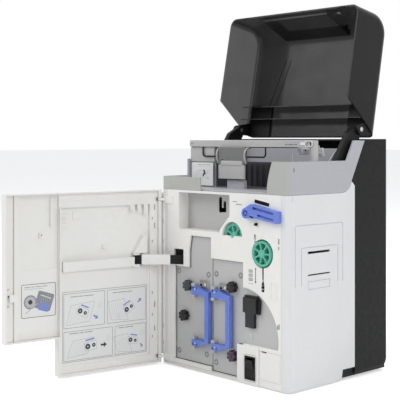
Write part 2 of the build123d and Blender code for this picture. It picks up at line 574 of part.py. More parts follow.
with BuildPart() as hopper_cover:
    slab(FLAP_X_LOW, FLAP_X_HIGH, FLAP_PIN_Y - KNUCKLE, FLAP_PIN_Y + KNUCKLE, FLAP_PIN_Z + KNUCKLE + 1.0, BAR_BOTTOM)
    slab(FLAP_X_LOW, FLAP_X_HIGH, FLAP_PIN_Y, BAR_REAR - 4.0, BAR_BOTTOM - 3.0, BAR_BOTTOM)
    for x in (FLAP_X_LOW, FLAP_X_HIGH - 6.0):
        slab(x, x + 6.0, FLAP_PIN_Y - KNUCKLE, FLAP_PIN_Y + KNUCKLE, FLAP_PIN_Z - KNUCKLE, FLAP_PIN_Z + KNUCKLE + 1.0)
    with BuildSketch(side_plane(FLAP_X_LOW - 1.0)):
        with Locations((FLAP_PIN_Y, FLAP_PIN_Z)):
            Circle(FLAP_PIN_RADIUS)
    extrude(amount=FLAP_X_HIGH - FLAP_X_LOW + 2.0, mode=Mode.SUBTRACT)
    fillet(hopper_cover.edges().filter_by(Axis.X).group_by(Axis.Z)[-1].sort_by(Axis.Y)[0], 2.0)
save(hopper_cover, "hopper_cover")

with BuildPart() as hopper_flap:
    with BuildSketch(side_plane(FLAP_X_LOW + 6.0 + GAP)):
        with Locations((FLAP_PIN_Y, FLAP_PIN_Z)):
            Circle(KNUCKLE)
        with Locations((FLAP_PIN_Y - KNUCKLE, FLAP_PIN_Z)):
            Rectangle(2.6, FLAP_HANG, align=(Align.MIN, Align.MAX))
    extrude(amount=FLAP_X_HIGH - FLAP_X_LOW - 12.0 - 2 * GAP)
    slab(FLAP_X_LOW, FLAP_X_HIGH, FLAP_PIN_Y - KNUCKLE, FLAP_PIN_Y - KNUCKLE + 2.6,
         FLAP_PIN_Z - FLAP_HANG, FLAP_PIN_Z - KNUCKLE - 1.8)
    with BuildSketch(side_plane(FLAP_X_LOW - 1.0)):
        with Locations((FLAP_PIN_Y, FLAP_PIN_Z)):
            Circle(FLAP_PIN_RADIUS + PIN_FIT)
    extrude(amount=FLAP_X_HIGH - FLAP_X_LOW + 2.0, mode=Mode.SUBTRACT)
save(hopper_flap, "hopper_flap")

TONGUE_LEFT, TONGUE_RIGHT = -51.0, -9.0
TONGUE_TOP = 339.0
with BuildPart() as card_support:
    slab(TONGUE_LEFT, TONGUE_RIGHT, HOPPER_FRONT + 1.0, HOPPER_FRONT + 9.0, DECK_TOP, TONGUE_TOP)
    fillet(card_support.edges().filter_by(Axis.X).group_by(Axis.Z)[-1], 2.0)
save(card_support, "card_support")

# ---------------------------------------------------------------- hood: shell, arms, brackets and pins
HOOD_WALL = 3.0
HOOD_BOTTOM = TRIM_HEIGHT + 2.0
HOOD_TOP = HOOD_BOTTOM + HOOD_HEIGHT
HOOD_REAR = COLUMN_FRONT_Y - 2.0
HOOD_FRONT = HOOD_REAR - HOOD_DEPTH
HOOD_LEAN = 55.6             # how far the open rear edge leans back over its height
HOOD_BROW = 38.0             # radius between the front wall and the top
HOOD_CORNER = 15.0
HINGE_Y, HINGE_Z = 60.0, 430.0
HINGE_PIN_RADIUS = 4.0
ARM_THICKNESS = 5.0
ARM_LENGTH = 62.0
ARM_SPAN = 59.0
ARM_PLATE = 4.0
ARM_ROOT = 26.0              # length of the side plate where it meets the top plate
BRACKET_THICKNESS = 9.0
BRACKET_FOOT_Y = -38.0
BRACKET_BAND = 40.0
BRACKET_SHOULDER = 31.0
ARM_OUTER = INNER_X - GAP
BRACKET_OUTER = ARM_OUTER - ARM_THICKNESS - SEAM
GRIP_WIDTH = 150.0
GRIP_LOW_Z = HOOD_BOTTOM + 12.0
GRIP_HIGH_Z = HOOD_BOTTOM + 77.0
GRIP_LOW_DEPTH = 6.0         # the finger grip deepens towards the brow
GRIP_HIGH_DEPTH = 26.0
OVAL_X, OVAL_Z = 88.0, HOOD_BOTTOM + 29.0
FIN_STEPS = (-6.5, 18.0)     # the two cross fins, measured back from the rim's rear end
FIN_DEPTH = 29.0
FIN_THICKNESS = 2.0
hood_pose = turned_about((0, HINGE_Y, HINGE_Z), (-HOOD_OPEN, 0, 0))


def hood_profile(inset):
    """The hood from the side: front wall, rounded brow, level top and slanted open rear."""
    front = HOOD_FRONT + inset
    top = HOOD_TOP - inset
    with BuildSketch() as profile:
        with BuildLine():
            Polyline(
                (HOOD_REAR + inset, HOOD_BOTTOM - inset),
                (front, HOOD_BOTTOM - inset),
                (front, top),
                (HOOD_REAR + HOOD_LEAN + inset, top),
                close=True,
            )
        make_face()
        brow = profile.vertices().group_by(Axis.X)[0].sort_by(Axis.Y)[-1]
        fillet(brow, HOOD_BROW - inset)
    return profile.sketch


def hood_block(inset):
    """The hood as a solid, with its corners rounded from the front wall over the brow to the top."""
    half_width = SIDE_X - inset
    with BuildPart() as block:
        with BuildSketch(side_plane(-half_width)):
            add(hood_profile(inset))
        extrude(amount=2 * half_width)
        fillet(block.edges().filter_by(Axis.Z).group_by(Axis.Y)[0], HOOD_CORNER - inset)
    return block.part


def grip_wedge(wall):
    """The finger grip from the side, as deep as its lip, grown by a wall for the shell around it."""
    with BuildSketch(side_plane(-GRIP_WIDTH / 2 - wall)) as wedge:
        Polygon(
            (HOOD_FRONT - WALL + 2 * wall, GRIP_LOW_Z - wall),
            (HOOD_FRONT + GRIP_LOW_DEPTH + wall, GRIP_LOW_Z - wall),
            (HOOD_FRONT + GRIP_HIGH_DEPTH + wall, GRIP_HIGH_Z + wall),
            (HOOD_FRONT - WALL + 2 * wall, GRIP_HIGH_Z + wall),
            align=None,
        )
    return wedge.sketch


def cross_fin(root_y):
    """A thin fin under the hood's top, level when the hood is open, cut clear of the two arms."""
    top = HOOD_TOP - HOOD_WALL / 2
    slant = FIN_DEPTH / tan(radians(HOOD_OPEN - 180.0))
    with BuildPart() as fin:
        with BuildSketch(side_plane(-SIDE_X)):
            Polygon((root_y, top), (root_y + FIN_THICKNESS, top), (root_y + FIN_THICKNESS - slant, top - FIN_DEPTH),
                    (root_y - slant, top - FIN_DEPTH), align=None)
        extrude(amount=BODY_WIDTH)
        add(hood_block(HOOD_WALL / 2), mode=Mode.INTERSECT)
        for side in (-1, 1):
            xs = sorted((side * (ARM_OUTER - ARM_SPAN - GAP), side * INNER_X))
            slab(xs[0], xs[1], HOOD_REAR - ARM_LENGTH, HOOD_REAR + ARM_LENGTH,
                 HOOD_TOP - HOOD_WALL - ARM_PLATE - GAP, HOOD_TOP, mode=Mode.SUBTRACT)
    return fin.part


with BuildPart() as hood_shell:
    add(hood_block(0))
    add(hood_block(HOOD_WALL), mode=Mode.SUBTRACT)
    with BuildPart(mode=Mode.PRIVATE) as grip:
        extrude(grip_wedge(HOOD_WALL), amount=GRIP_WIDTH + 2 * HOOD_WALL)
        add(hood_block(0), mode=Mode.INTERSECT)
    add(grip.part)
    extrude(grip_wedge(0), amount=GRIP_WIDTH, mode=Mode.SUBTRACT)
    for step in FIN_STEPS:
        add(cross_fin(HOOD_REAR + step))
    with BuildSketch(front_plane(HOOD_FRONT + HOOD_WALL)):
        with Locations((OVAL_X, OVAL_Z)):
            Ellipse(8.0, 5.0)
    extrude(amount=HOOD_WALL, mode=Mode.SUBTRACT)
save(hood_shell, "hood_shell", hood_pose)

ARM_LUG = 10.0
hood_room = [
    (-INNER_X, HINGE_Z - HOOD_HEIGHT), (-INNER_X, HOOD_TOP - HOOD_WALL),
    (INNER_X, HOOD_TOP - HOOD_WALL), (INNER_X, HINGE_Z - HOOD_HEIGHT),
]
for side, hand in ((-1, "left"), (1, "right")):
    with BuildPart() as hood_arm:
        with BuildSketch(side_plane(side * (ARM_OUTER - ARM_THICKNESS))):
            with BuildLine():
                Polyline(
                    (HINGE_Y - ARM_LUG, HINGE_Z),
                    (HOOD_REAR + HOOD_LEAN - 3.0 - ARM_ROOT, HOOD_TOP - HOOD_WALL),
                    (HOOD_REAR + HOOD_LEAN - 3.0, HOOD_TOP - HOOD_WALL),
                    (HINGE_Y + ARM_LUG * 0.7, HINGE_Z + ARM_LUG * 0.7),
                    (HINGE_Y, HINGE_Z - ARM_LUG),
                    close=True,
                )
            make_face()
            with Locations((HINGE_Y, HINGE_Z)):
                Circle(ARM_LUG)
        extrude(amount=side * ARM_THICKNESS)
        arm_xs = sorted((side * (ARM_OUTER - ARM_SPAN), side * ARM_OUTER))
        slab(arm_xs[0], arm_xs[1],
             HOOD_REAR - 8.0, HOOD_REAR - 8.0 + ARM_LENGTH, HOOD_TOP - HOOD_WALL - ARM_PLATE, HOOD_TOP - HOOD_WALL)
        room = draw(hood_room, front_plane(BACK_Y), radius=HOOD_CORNER - HOOD_WALL)
        extrude(room, amount=BODY_DEPTH, mode=Mode.INTERSECT)
        with BuildSketch(side_plane(side * (ARM_OUTER - ARM_THICKNESS - 1.0))):
            with Locations((HINGE_Y, HINGE_Z)):
                Circle(HINGE_PIN_RADIUS + PIN_FIT)
        extrude(amount=side * (ARM_THICKNESS + 2.0), mode=Mode.SUBTRACT)
    save(hood_arm, f"hood_arm_{hand}", hood_pose)

    with BuildPart() as hinge_bracket:
        with BuildSketch(side_plane(side * (BRACKET_OUTER - BRACKET_THICKNESS))):
            with BuildLine():
                Polyline(
                    (BRACKET_FOOT_Y, DECK_TOP),
                    (HINGE_Y - BRACKET_SHOULDER, HINGE_Z - 6.0),
                    (HINGE_Y - 2.0, HINGE_Z + 9.0),
                    (HINGE_Y + 9.5, HINGE_Z - 2.0),
                    (BRACKET_FOOT_Y + BRACKET_BAND, DECK_TOP),
                    close=True,
                )
            make_face()
            with Locations((HINGE_Y, HINGE_Z)):
                Circle(9.6)
        extrude(amount=side * BRACKET_THICKNESS)
        with BuildSketch(side_plane(side * (BRACKET_OUTER - BRACKET_THICKNESS - 1.0))):
            with Locations((HINGE_Y, HINGE_Z)):
                Circle(HINGE_PIN_RADIUS)
        extrude(amount=side * (BRACKET_THICKNESS + 1.0), mode=Mode.SUBTRACT)
    save(hinge_bracket, f"hinge_bracket_{hand}")

# ---------------------------------------------------------------- front door: shell, liner, latch and stay
DOOR_BACK = FRONT_Y - 4.0
DOOR_FRONT = DOOR_BACK - DOOR_THICKNESS
DOOR_BOTTOM = 4.0
DOOR_TOP = SPLIT_HEIGHT - 1.0
DOOR_RIGHT = PANEL_EDGE_X + 9.0       # the side panel's front strip stays in view beside the door
DOOR_WALL = 2.6
DOOR_EDGE_RADIUS = 4.0
DOOR_HINGE_X = -SIDE_X + 3.5
DOOR_HINGE_Y = DOOR_BACK - 3.5
DOOR_PIN_RADIUS = 2.0
HINGE_EAR = 5.0
HINGE_RELIEF = 0.6
EAR_BOTTOMS = (12.0, 300.0)
LINER_FACE = DOOR_FRONT + 8.0        # inner face of the recessed panel
LINER_PLATE = 2.0
STEP_WALL = 3.0
STEP_RISE = 11.0             # the upright wall between the wide and the narrow panel
LABEL_RISE = 3.0             # the panel below the pocket stands proud of it
NARROW_RISE = 1.5            # lower part of the narrow panel
NARROW_TOP = 190.0
TOP_BAND = 6.0
EDGE_RISE = 5.0
HINGE_STRIP = 16.0
EDGE_STRIP_X = DOOR_HINGE_X + 277.0
EDGE_GROOVE_X = DOOR_HINGE_X + 286.0
EDGE_GROOVE = 3.0
RIB_X = DOOR_HINGE_X + 215.0
RIB_BOTTOM = 262.0
GUSSET_DEPTH = 12.0
BOSS_SPOT = (82.0, 248.5)
STRIP_SLOT_ZS = (66.0, 110.0, 254.0, 288.0)
POCKET_LEFT, POCKET_RIGHT = DOOR_HINGE_X + 53.5, DOOR_HINGE_X + 197.0
POCKET_BOTTOM, POCKET_TOP = 183.0, 294.0
LIP_HEIGHT = 17.0
LIP_DEPTH = 9.0
door_pose = turned_about((DOOR_HINGE_X, DOOR_HINGE_Y, 0), (0, 0, -DOOR_OPEN))

STAY_PIN_X = DOOR_HINGE_X + 48.5
STAY_PIN_Y = DOOR_HINGE_Y - 3.5
STAY_ANGLE = 47.3            # direction of the stay with the door at rest
STAY_LENGTH = 95.0
STAY_THICKNESS = 3.4
STAY_HEAD = 12.0
LATCH_HOOK_X = DOOR_HINGE_X + 290.5
LATCH_HOOK_Z = 147.0

door_outline = [
    (-SIDE_X, DOOR_BOTTOM), (-SIDE_X, DOOR_TOP), (DOOR_RIGHT, DOOR_TOP), (DOOR_RIGHT, DOOR_BOTTOM + DOOR_NOTCH_HEIGHT),
    (DOOR_RIGHT - DOOR_NOTCH_WIDTH, DOOR_BOTTOM + DOOR_NOTCH_HEIGHT), (DOOR_RIGHT - DOOR_NOTCH_WIDTH, DOOR_BOTTOM),
]


def hinge_relief():
    """Cut the door's corner away where each fixed ear reaches the hinge line."""
    for low in EAR_BOTTOMS:
        slab(-SIDE_X - 1.0, DOOR_HINGE_X + 9.0, DOOR_HINGE_Y - 4.6, DOOR_BACK + 1.0,
             low - HINGE_RELIEF, low + HINGE_EAR + HINGE_RELIEF, mode=Mode.SUBTRACT)


with BuildPart() as door_shell:
    extrude(draw(door_outline, front_plane(DOOR_BACK)), amount=DOOR_THICKNESS)
    fillet(door_shell.faces().sort_by(Axis.Y)[0].edges(), DOOR_EDGE_RADIUS)
    extrude(draw(door_outline, front_plane(DOOR_BACK), grow=-DOOR_WALL),
            amount=DOOR_THICKNESS - DOOR_WALL, mode=Mode.SUBTRACT)
    slab(-SIDE_X, DOOR_HINGE_X + 3.5, DOOR_HINGE_Y - 3.5, DOOR_BACK, DOOR_BOTTOM, DOOR_TOP)
    fillet(door_shell.edges().filter_by(Axis.Z).group_by(Axis.X)[0].sort_by(Axis.Y)[-1], 3.0)
    hinge_relief()
    for low in EAR_BOTTOMS:
        with BuildSketch(level_plane(low - 7.0)):
            with Locations((DOOR_HINGE_X, DOOR_HINGE_Y)):
                Circle(DOOR_PIN_RADIUS + PIN_FIT)
        extrude(amount=HINGE_EAR + 14.0, mode=Mode.SUBTRACT)
save(door_shell, "door_shell", door_pose)

with BuildPart() as door_liner:
    inner_left = DOOR_HINGE_X + 3.5 + GAP
    inner_right = DOOR_RIGHT - DOOR_WALL - GAP
    inner_bottom = DOOR_BOTTOM + DOOR_WALL + GAP
    inner_top = DOOR_TOP - DOOR_WALL - GAP
    notch_x = DOOR_RIGHT - DOOR_NOTCH_WIDTH - DOOR_WALL - GAP
    notch_z = DOOR_BOTTOM + DOOR_NOTCH_HEIGHT + DOOR_WALL + GAP
    liner_outline = [
        (inner_left, inner_bottom), (inner_left, inner_top), (inner_right, inner_top), (inner_right, notch_z),
        (notch_x, notch_z), (notch_x, inner_bottom),
    ]
    step_x = notch_x - STEP_WALL
    strip_right = inner_left + HINGE_STRIP
    extrude(draw(liner_outline, front_plane(LINER_FACE)), amount=LINER_PLATE)
    # bands round the wide panel: hinge side, top, bottom and the upright wall at its free side
    slab(inner_left, strip_right, LINER_FACE, LINER_FACE + TOP_BAND, inner_bottom, inner_top)
    slab(strip_right, notch_x, LINER_FACE, LINER_FACE + TOP_BAND, POCKET_TOP, inner_top)
    slab(strip_right, notch_x, LINER_FACE, LINER_FACE + TOP_BAND, inner_bottom, inner_bottom + 12.0)
    slab(step_x, notch_x, LINER_FACE, LINER_FACE + STEP_RISE, inner_bottom, POCKET_TOP)
    slab(strip_right, step_x, LINER_FACE, LINER_FACE + LABEL_RISE, inner_bottom + 12.0, POCKET_BOTTOM)
    # narrow panel: top strip, upright rib, lower part and the grooved free edge
    slab(notch_x, inner_right, LINER_FACE, LINER_FACE + NARROW_RISE, inner_top - 6.0, inner_top)
    slab(RIB_X, RIB_X + 4.0, LINER_FACE, LINER_FACE + TOP_BAND, RIB_BOTTOM, inner_top - 6.0)
    slab(notch_x, EDGE_STRIP_X, LINER_FACE, LINER_FACE + NARROW_RISE, notch_z, NARROW_TOP)
    slab(EDGE_STRIP_X, inner_right, LINER_FACE, LINER_FACE + EDGE_RISE, notch_z, inner_top)
    slab(EDGE_GROOVE_X, EDGE_GROOVE_X + EDGE_GROOVE, LINER_FACE + NARROW_RISE, LINER_FACE + EDGE_RISE,
         notch_z, inner_top, mode=Mode.SUBTRACT)
    # pocket lip, its gusset and the card clips above it
    slab(POCKET_LEFT, POCKET_RIGHT, LINER_FACE, LINER_FACE + LIP_DEPTH, POCKET_BOTTOM, POCKET_BOTTOM + LIP_HEIGHT)
    slab(POCKET_LEFT + 4.0, POCKET_RIGHT - 2.0, LINER_FACE + 2.0, LINER_FACE + LIP_DEPTH - 2.0,
         POCKET_BOTTOM + 2.0, POCKET_BOTTOM + LIP_HEIGHT, mode=Mode.SUBTRACT)
    with BuildSketch(front_plane(LINER_FACE + GUSSET_DEPTH)):
        Polygon((POCKET_LEFT + 3.0, STAY_TOP + GAP + 4.0), (POCKET_LEFT - 24.0, STAY_TOP + GAP + 4.0),
                (POCKET_LEFT - 24.0, STAY_TOP + 36.0), (POCKET_LEFT - 18.0, STAY_TOP + 36.0), align=None)
    extrude(amount=GUSSET_DEPTH)
    for clip_x, clip_z in ((POCKET_LEFT - 28.0, 276.0), (POCKET_LEFT - 14.0, 284.0), (POCKET_LEFT, 284.0)):
        slab(clip_x, clip_x + 8.0, LINER_FACE, LINER_FACE + 9.0, clip_z, POCKET_TOP)
    for clip_z in (262.0, 278.0):
        slab(step_x - 14.0, step_x, LINER_FACE, LINER_FACE + 5.0, clip_z, clip_z + 4.0)
    slab(step_x - 48.0, step_x - 26.0, LINER_FACE, LINER_FACE + NARROW_RISE, 273.0, 285.0)
    slab(step_x - 96.0, step_x - 84.0, LINER_FACE, LINER_FACE + 3.0, 219.0, 225.0)
    for slot_z in STRIP_SLOT_ZS:
        slab(inner_left + 4.0, inner_left + 7.0, LINER_FACE + 2.0, LINER_FACE + TOP_BAND,
             slot_z - 5.0, slot_z + 5.0, mode=Mode.SUBTRACT)
    # lugs that carry the stay's pin
    for low in (STAY_BOTTOM - GAP - 5.0, STAY_TOP + GAP):
        slab(STAY_PIN_X - 6.0, POCKET_LEFT + 1.0, LINER_FACE - 1.0, STAY_PIN_Y + 4.0, low, low + 5.0)
    with BuildSketch(level_plane(STAY_BOTTOM - 8.0)):
        with Locations((STAY_PIN_X, STAY_PIN_Y)):
            Circle(DOOR_PIN_RADIUS)
    extrude(amount=STAY_TOP - STAY_BOTTOM + 16.0, mode=Mode.SUBTRACT)
    # catch hook on the free edge and the locating boss above it
    slab(LATCH_HOOK_X - 4.0, LATCH_HOOK_X + 4.0, LINER_FACE, DOOR_BACK + 2.0, LATCH_HOOK_Z - 6.0, LATCH_HOOK_Z + 6.0)
    slab(LATCH_HOOK_X - 4.0, LATCH_HOOK_X + 7.0, DOOR_BACK - 1.0, DOOR_BACK + 2.0,
         LATCH_HOOK_Z - 6.0, LATCH_HOOK_Z + 6.0)
    with Locations(front_plane(LINER_FACE + TOP_BAND).location * Location((*BOSS_SPOT, 0))):
        Cylinder(4.0, TOP_BAND, align=(Align.CENTER, Align.CENTER, Align.MIN))
        Cylinder(1.6, TOP_BAND - 1.5, align=(Align.CENTER, Align.CENTER, Align.MIN), mode=Mode.SUBTRACT)
    hinge_relief()
save(door_liner, "door_liner", door_pose)

with BuildPart() as stay_pin:
    with BuildSketch(level_plane(STAY_BOTTOM - GAP - 5.0)):
        with Locations((STAY_PIN_X, STAY_PIN_Y)):
            Circle(DOOR_PIN_RADIUS)
    extrude(amount=STAY_TOP - STAY_BOTTOM + 2 * (GAP + 5.0))
save(stay_pin, "stay_pin", door_pose)

stay_point = door_pose * Pos(STAY_PIN_X, STAY_PIN_Y, 0)
stay_pose = Location((stay_point.position.X, stay_point.position.Y, 0), (0, 0, STAY_ANGLE))
with BuildPart() as door_stay:
    slab(0, STAY_LENGTH, -STAY_THICKNESS / 2, STAY_THICKNESS / 2, STAY_BOTTOM, STAY_TOP)
    with BuildSketch(level_plane(STAY_BOTTOM)):
        Circle(3.8)
    extrude(amount=STAY_TOP - STAY_BOTTOM)
    slab(STAY_LENGTH - 6.0, STAY_LENGTH, -STAY_HEAD / 2, STAY_HEAD / 2, STAY_BOTTOM, STAY_TOP + 6.0)
    with BuildSketch(level_plane(STAY_BOTTOM - 1.0)):
        Circle(DOOR_PIN_RADIUS + PIN_FIT)
    extrude(amount=STAY_TOP - STAY_BOTTOM + 2.0, mode=Mode.SUBTRACT)
save(door_stay, "door_stay", stay_pose)

EAR_RADIUS = 3.4
EAR_PLATE_FRONT = FRONT_Y - 2.6
with BuildPart() as door_hinges:
    for low in EAR_BOTTOMS:
        with BuildSketch(level_plane(low)):
            with Locations((DOOR_HINGE_X, DOOR_HINGE_Y)):
                Circle(EAR_RADIUS)
            with Locations((DOOR_HINGE_X + 8.0, FRONT_Y - 1.6)):
                Rectangle(2.0, 2.0)
            make_hull()
        extrude(amount=HINGE_EAR)
        slab(DOOR_HINGE_X + 8.0, -FASCIA_X + 14.0, EAR_PLATE_FRONT, FRONT_Y, low - 4.0, low + HINGE_EAR + 4.0)
        with BuildSketch(level_plane(low - 1.0)):
            with Locations((DOOR_HINGE_X, DOOR_HINGE_Y)):
                Circle(DOOR_PIN_RADIUS)
        extrude(amount=HINGE_EAR + 2.0, mode=Mode.SUBTRACT)
save(door_hinges, "door_hinges")

# ---------------------------------------------------------------- card feed wheels and their rollers
WHEEL_THICKNESS = 9.0
SPOKES = 7
ROLLER_RADIUS = 8.0
ROLLER_FRONT = FRONT_Y + 22.0
ROLLER_REAR = CHASSIS_FRONT - 8.0


def feed_wheel(centre, face_y, thickness):
    """A spoked thumb wheel with a notched rim; its shaft bore runs right through."""
    with BuildPart() as wheel:
        with BuildSketch(front_plane(face_y + thickness)):
            with Locations(centre):
                Circle(WHEEL_RADIUS)
                with PolarLocations(WHEEL_RADIUS, 30):
                    Rectangle(1.6, 1.2, mode=Mode.SUBTRACT)
                Circle(SHAFT_RADIUS, mode=Mode.SUBTRACT)
        extrude(amount=thickness)
        with BuildSketch(front_plane(face_y + thickness)):
            with Locations(centre):
                Circle(WHEEL_RADIUS - 4.0)
                Circle(SHAFT_RADIUS + 3.0, mode=Mode.SUBTRACT)
                with PolarLocations((WHEEL_RADIUS + 3.0) / 2, SPOKES):
                    Rectangle(WHEEL_RADIUS - 7.0, 2.6, mode=Mode.SUBTRACT)
        extrude(amount=thickness, mode=Mode.SUBTRACT)
    return wheel.part


def feed_roller(centre, face_y):
    """A shaft from the wheel to the chassis wall with a rubber roller on it, turned as one profile."""
    with BuildPart() as roller:
        with Locations(front_plane(CHASSIS_FRONT + 6.0).location * Location((centre[0], centre[1], 0))):
            Cylinder(SHAFT_RADIUS, CHASSIS_FRONT + 6.0 - face_y, align=(Align.CENTER, Align.CENTER, Align.MIN))
        with Locations(front_plane(ROLLER_REAR).location * Location((centre[0], centre[1], 0))):
            Cylinder(ROLLER_RADIUS, ROLLER_REAR - ROLLER_FRONT, align=(Align.CENTER, Align.CENTER, Align.MIN))
    return roller.part


UPPER_FACE = FASCIA_BACK + 0.6
LOWER_FACE = FRONT_Y - 2.0
with BuildPart() as upper_wheel:
    add(feed_wheel(UPPER_WHEEL, UPPER_FACE, CUP_DEPTH - CUP_WALL - FASCIA_WALL - 1.2))
save(upper_wheel, "upper_wheel")

with BuildPart() as lower_wheel:
    add(feed_wheel(LOWER_WHEEL, LOWER_FACE, WHEEL_THICKNESS))
save(lower_wheel, "lower_wheel")

with BuildPart() as upper_roller:
    add(feed_roller(UPPER_WHEEL, UPPER_FACE))
save(upper_roller, "upper_roller")

with BuildPart() as lower_roller:
    add(feed_roller(LOWER_WHEEL, LOWER_FACE))
save(lower_roller, "lower_roller")

# ---------------------------------------------------------------- locking lever and paddle lever
LATCH_LENGTH = 73.0
LATCH_THICKNESS = 8.6
LATCH_RECESS = 4.0
LATCH_REAR = FRONT_Y - 0.4
latch_outline = [
    (LATCH_X - 2.0, LATCH_Z + 8.5), (LATCH_X + 12.0, LATCH_Z + 16.0), (LATCH_X + LATCH_LENGTH, LATCH_Z + 6.0),
    (LATCH_X + LATCH_LENGTH, LATCH_Z - 14.0), (LATCH_X + 26.0, LATCH_Z - 8.0), (LATCH_X + 2.0, LATCH_Z - 8.5),
]
with BuildPart() as locking_lever:
    with BuildSketch(front_plane(LATCH_REAR)) as latch_face:
        add(draw(latch_outline, Plane.XY, radius=2.0))
        with Locations((LATCH_X, LATCH_Z)):
            Circle(9.0)
    extrude(amount=LATCH_THICKNESS)
    with BuildSketch(front_plane(LATCH_REAR - LATCH_THICKNESS + LATCH_RECESS)):
        with Locations((LATCH_X + 40.0, LATCH_Z + 5.5)):
            SlotOverall(48.0, 5.0, rotation=-9)
        with Locations((LATCH_X + 46.0, LATCH_Z - 5.0)):
            SlotOverall(38.0, 4.0, rotation=-9)
        with Locations((LATCH_X, LATCH_Z)):
            Circle(5.0)
            Circle(2.4, mode=Mode.SUBTRACT)
    extrude(amount=LATCH_RECESS, mode=Mode.SUBTRACT)
    with Locations(front_plane(FASCIA_BACK + 2.4).location * Location((LATCH_X, LATCH_Z, 0))):
        Cylinder(SHAFT_RADIUS, LATCH_THICKNESS, align=(Align.CENTER, Align.CENTER, Align.MIN))
        Cylinder(SHAFT_RADIUS + 2.5, 2.0, align=(Align.CENTER, Align.CENTER, Align.MIN))
save(locking_lever, "locking_lever")

PADDLE_HEAD_Z = LEVER_Z + 17.0
PADDLE_TOP_Z = LEVER_Z + 47.0
with BuildPart() as paddle_lever:
    with BuildSketch(front_plane(FASCIA_BACK - GAP)) as paddle_face:
        with Locations((LEVER_X, LEVER_Z - 7.0)):
            Rectangle(20.0, 26.0, align=(Align.CENTER, Align.MIN))
        with BuildLine():
            Polyline((LEVER_X - 12.0, PADDLE_HEAD_Z), (LEVER_X - 12.0, PADDLE_TOP_Z),
                     (LEVER_X + 16.0, PADDLE_TOP_Z), (LEVER_X + 23.0, PADDLE_TOP_Z - 7.0),
                     (LEVER_X + 21.0, PADDLE_HEAD_Z), close=True)
        make_face()
    extrude(amount=6.0)
    slab(LEVER_X - 11.0, LEVER_X + 19.0, FASCIA_BACK - 11.0, FASCIA_BACK - 6.0, PADDLE_HEAD_Z + 2.0, PADDLE_TOP_Z - 3.0)
    with Locations(front_plane(FASCIA_BACK + PLATE + 2.3).location * Location((LEVER_X, LEVER_Z, 0))):
        Cylinder(SHAFT_RADIUS, 6.0, align=(Align.CENTER, Align.CENTER, Align.MIN))
        Cylinder(SHAFT_RADIUS + 2.5, 2.0, align=(Align.CENTER, Align.CENTER, Align.MIN))
save(paddle_lever, "paddle_lever")

# ---------------------------------------------------------------- power switch and access flap
BEZEL = 1.6
SWITCH_BODY = 26.0
ROCKER_TILT = 8.0
ROCKER_Y = FRONT_Y - BOSS_PROUD + 3.0
with BuildPart() as switch_housing:
    with BuildSketch(front_plane(FRONT_Y - BOSS_PROUD + SWITCH_BODY)):
        with Locations((SWITCH_X, SWITCH_Z)):
            Rectangle(SWITCH_WIDTH - 2 * GAP, SWITCH_HEIGHT - 2 * GAP)
    extrude(amount=SWITCH_BODY)
    with BuildSketch(front_plane(FRONT_Y - BOSS_PROUD)):
        with Locations((SWITCH_X, SWITCH_Z)):
            Rectangle(SWITCH_WIDTH + 2 * BEZEL, SWITCH_HEIGHT + 2 * BEZEL)
    extrude(amount=BEZEL)
    with BuildSketch(front_plane(FRONT_Y - BOSS_PROUD + SWITCH_BODY / 2)):
        with Locations((SWITCH_X, SWITCH_Z)):
            Rectangle(SWITCH_WIDTH - 2.0, SWITCH_HEIGHT - 1.6)
    extrude(amount=SWITCH_BODY, mode=Mode.SUBTRACT)
    with BuildSketch(side_plane(SWITCH_X - SWITCH_WIDTH / 2 + GAP)):
        with Locations((ROCKER_Y, SWITCH_Z)):
            Circle(1.5)
    extrude(amount=SWITCH_WIDTH - 2 * GAP)
save(switch_housing, "switch_housing")

rocker_pose = turned_about((SWITCH_X, ROCKER_Y, SWITCH_Z), (ROCKER_TILT, 0, 0))
with BuildPart() as power_rocker:
    with BuildSketch(side_plane(SWITCH_X - SWITCH_WIDTH / 2 + 1.3)):
        with BuildLine():
            Polyline((ROCKER_Y - 6.5, SWITCH_Z - 15.5), (ROCKER_Y - 4.5, SWITCH_Z), (ROCKER_Y - 6.5, SWITCH_Z + 15.5),
                     (ROCKER_Y + 1.0, SWITCH_Z + 13.0), (ROCKER_Y + 3.0, SWITCH_Z + 3.0),
                     (ROCKER_Y + 3.0, SWITCH_Z - 3.0), (ROCKER_Y + 1.0, SWITCH_Z - 13.0), close=True)
        make_face()
        with Locations((ROCKER_Y, SWITCH_Z)):
            Circle(1.5 + PIN_FIT, mode=Mode.SUBTRACT)
    extrude(amount=SWITCH_WIDTH - 2.6)
save(power_rocker, "power_rocker", rocker_pose)

with BuildPart() as access_flap:
    with BuildSketch(front_plane(FRONT_Y + FLAP_THICKNESS)) as flap_face:
        with Locations((FLAP_LEFT + 0.4, FLAP_BOTTOM + 0.4)):
            Rectangle(FLAP_RIGHT - FLAP_LEFT - 0.8, FLAP_TOP - FLAP_BOTTOM - 0.8, align=(Align.MIN, Align.MIN))
        fillet(flap_face.vertices().group_by(Axis.X)[0].sort_by(Axis.Y)[0], FLAP_CORNER)
        with Locations((FLAP_LEFT + 10.0, FLAP_TOP)):
            Rectangle(12.0, 5.0, mode=Mode.SUBTRACT)
    extrude(amount=FLAP_THICKNESS)
    fillet(access_flap.edges().filter_by(Axis.Z).group_by(Axis.X)[-1], FLAP_THICKNESS / 2 - 0.05)
    with BuildSketch(level_plane(FLAP_BOTTOM - 1.0)):
        with Locations((FLAP_HINGE_X, FLAP_HINGE_Y)):
            Circle(FLAP_PIN + PIN_FIT)
    extrude(amount=6.0, mode=Mode.SUBTRACT)
    with BuildSketch(level_plane(FLAP_TOP - 5.0)):
        with Locations((FLAP_HINGE_X, FLAP_HINGE_Y)):
            Circle(FLAP_PIN + PIN_FIT)
    extrude(amount=6.0, mode=Mode.SUBTRACT)
save(access_flap, "access_flap")

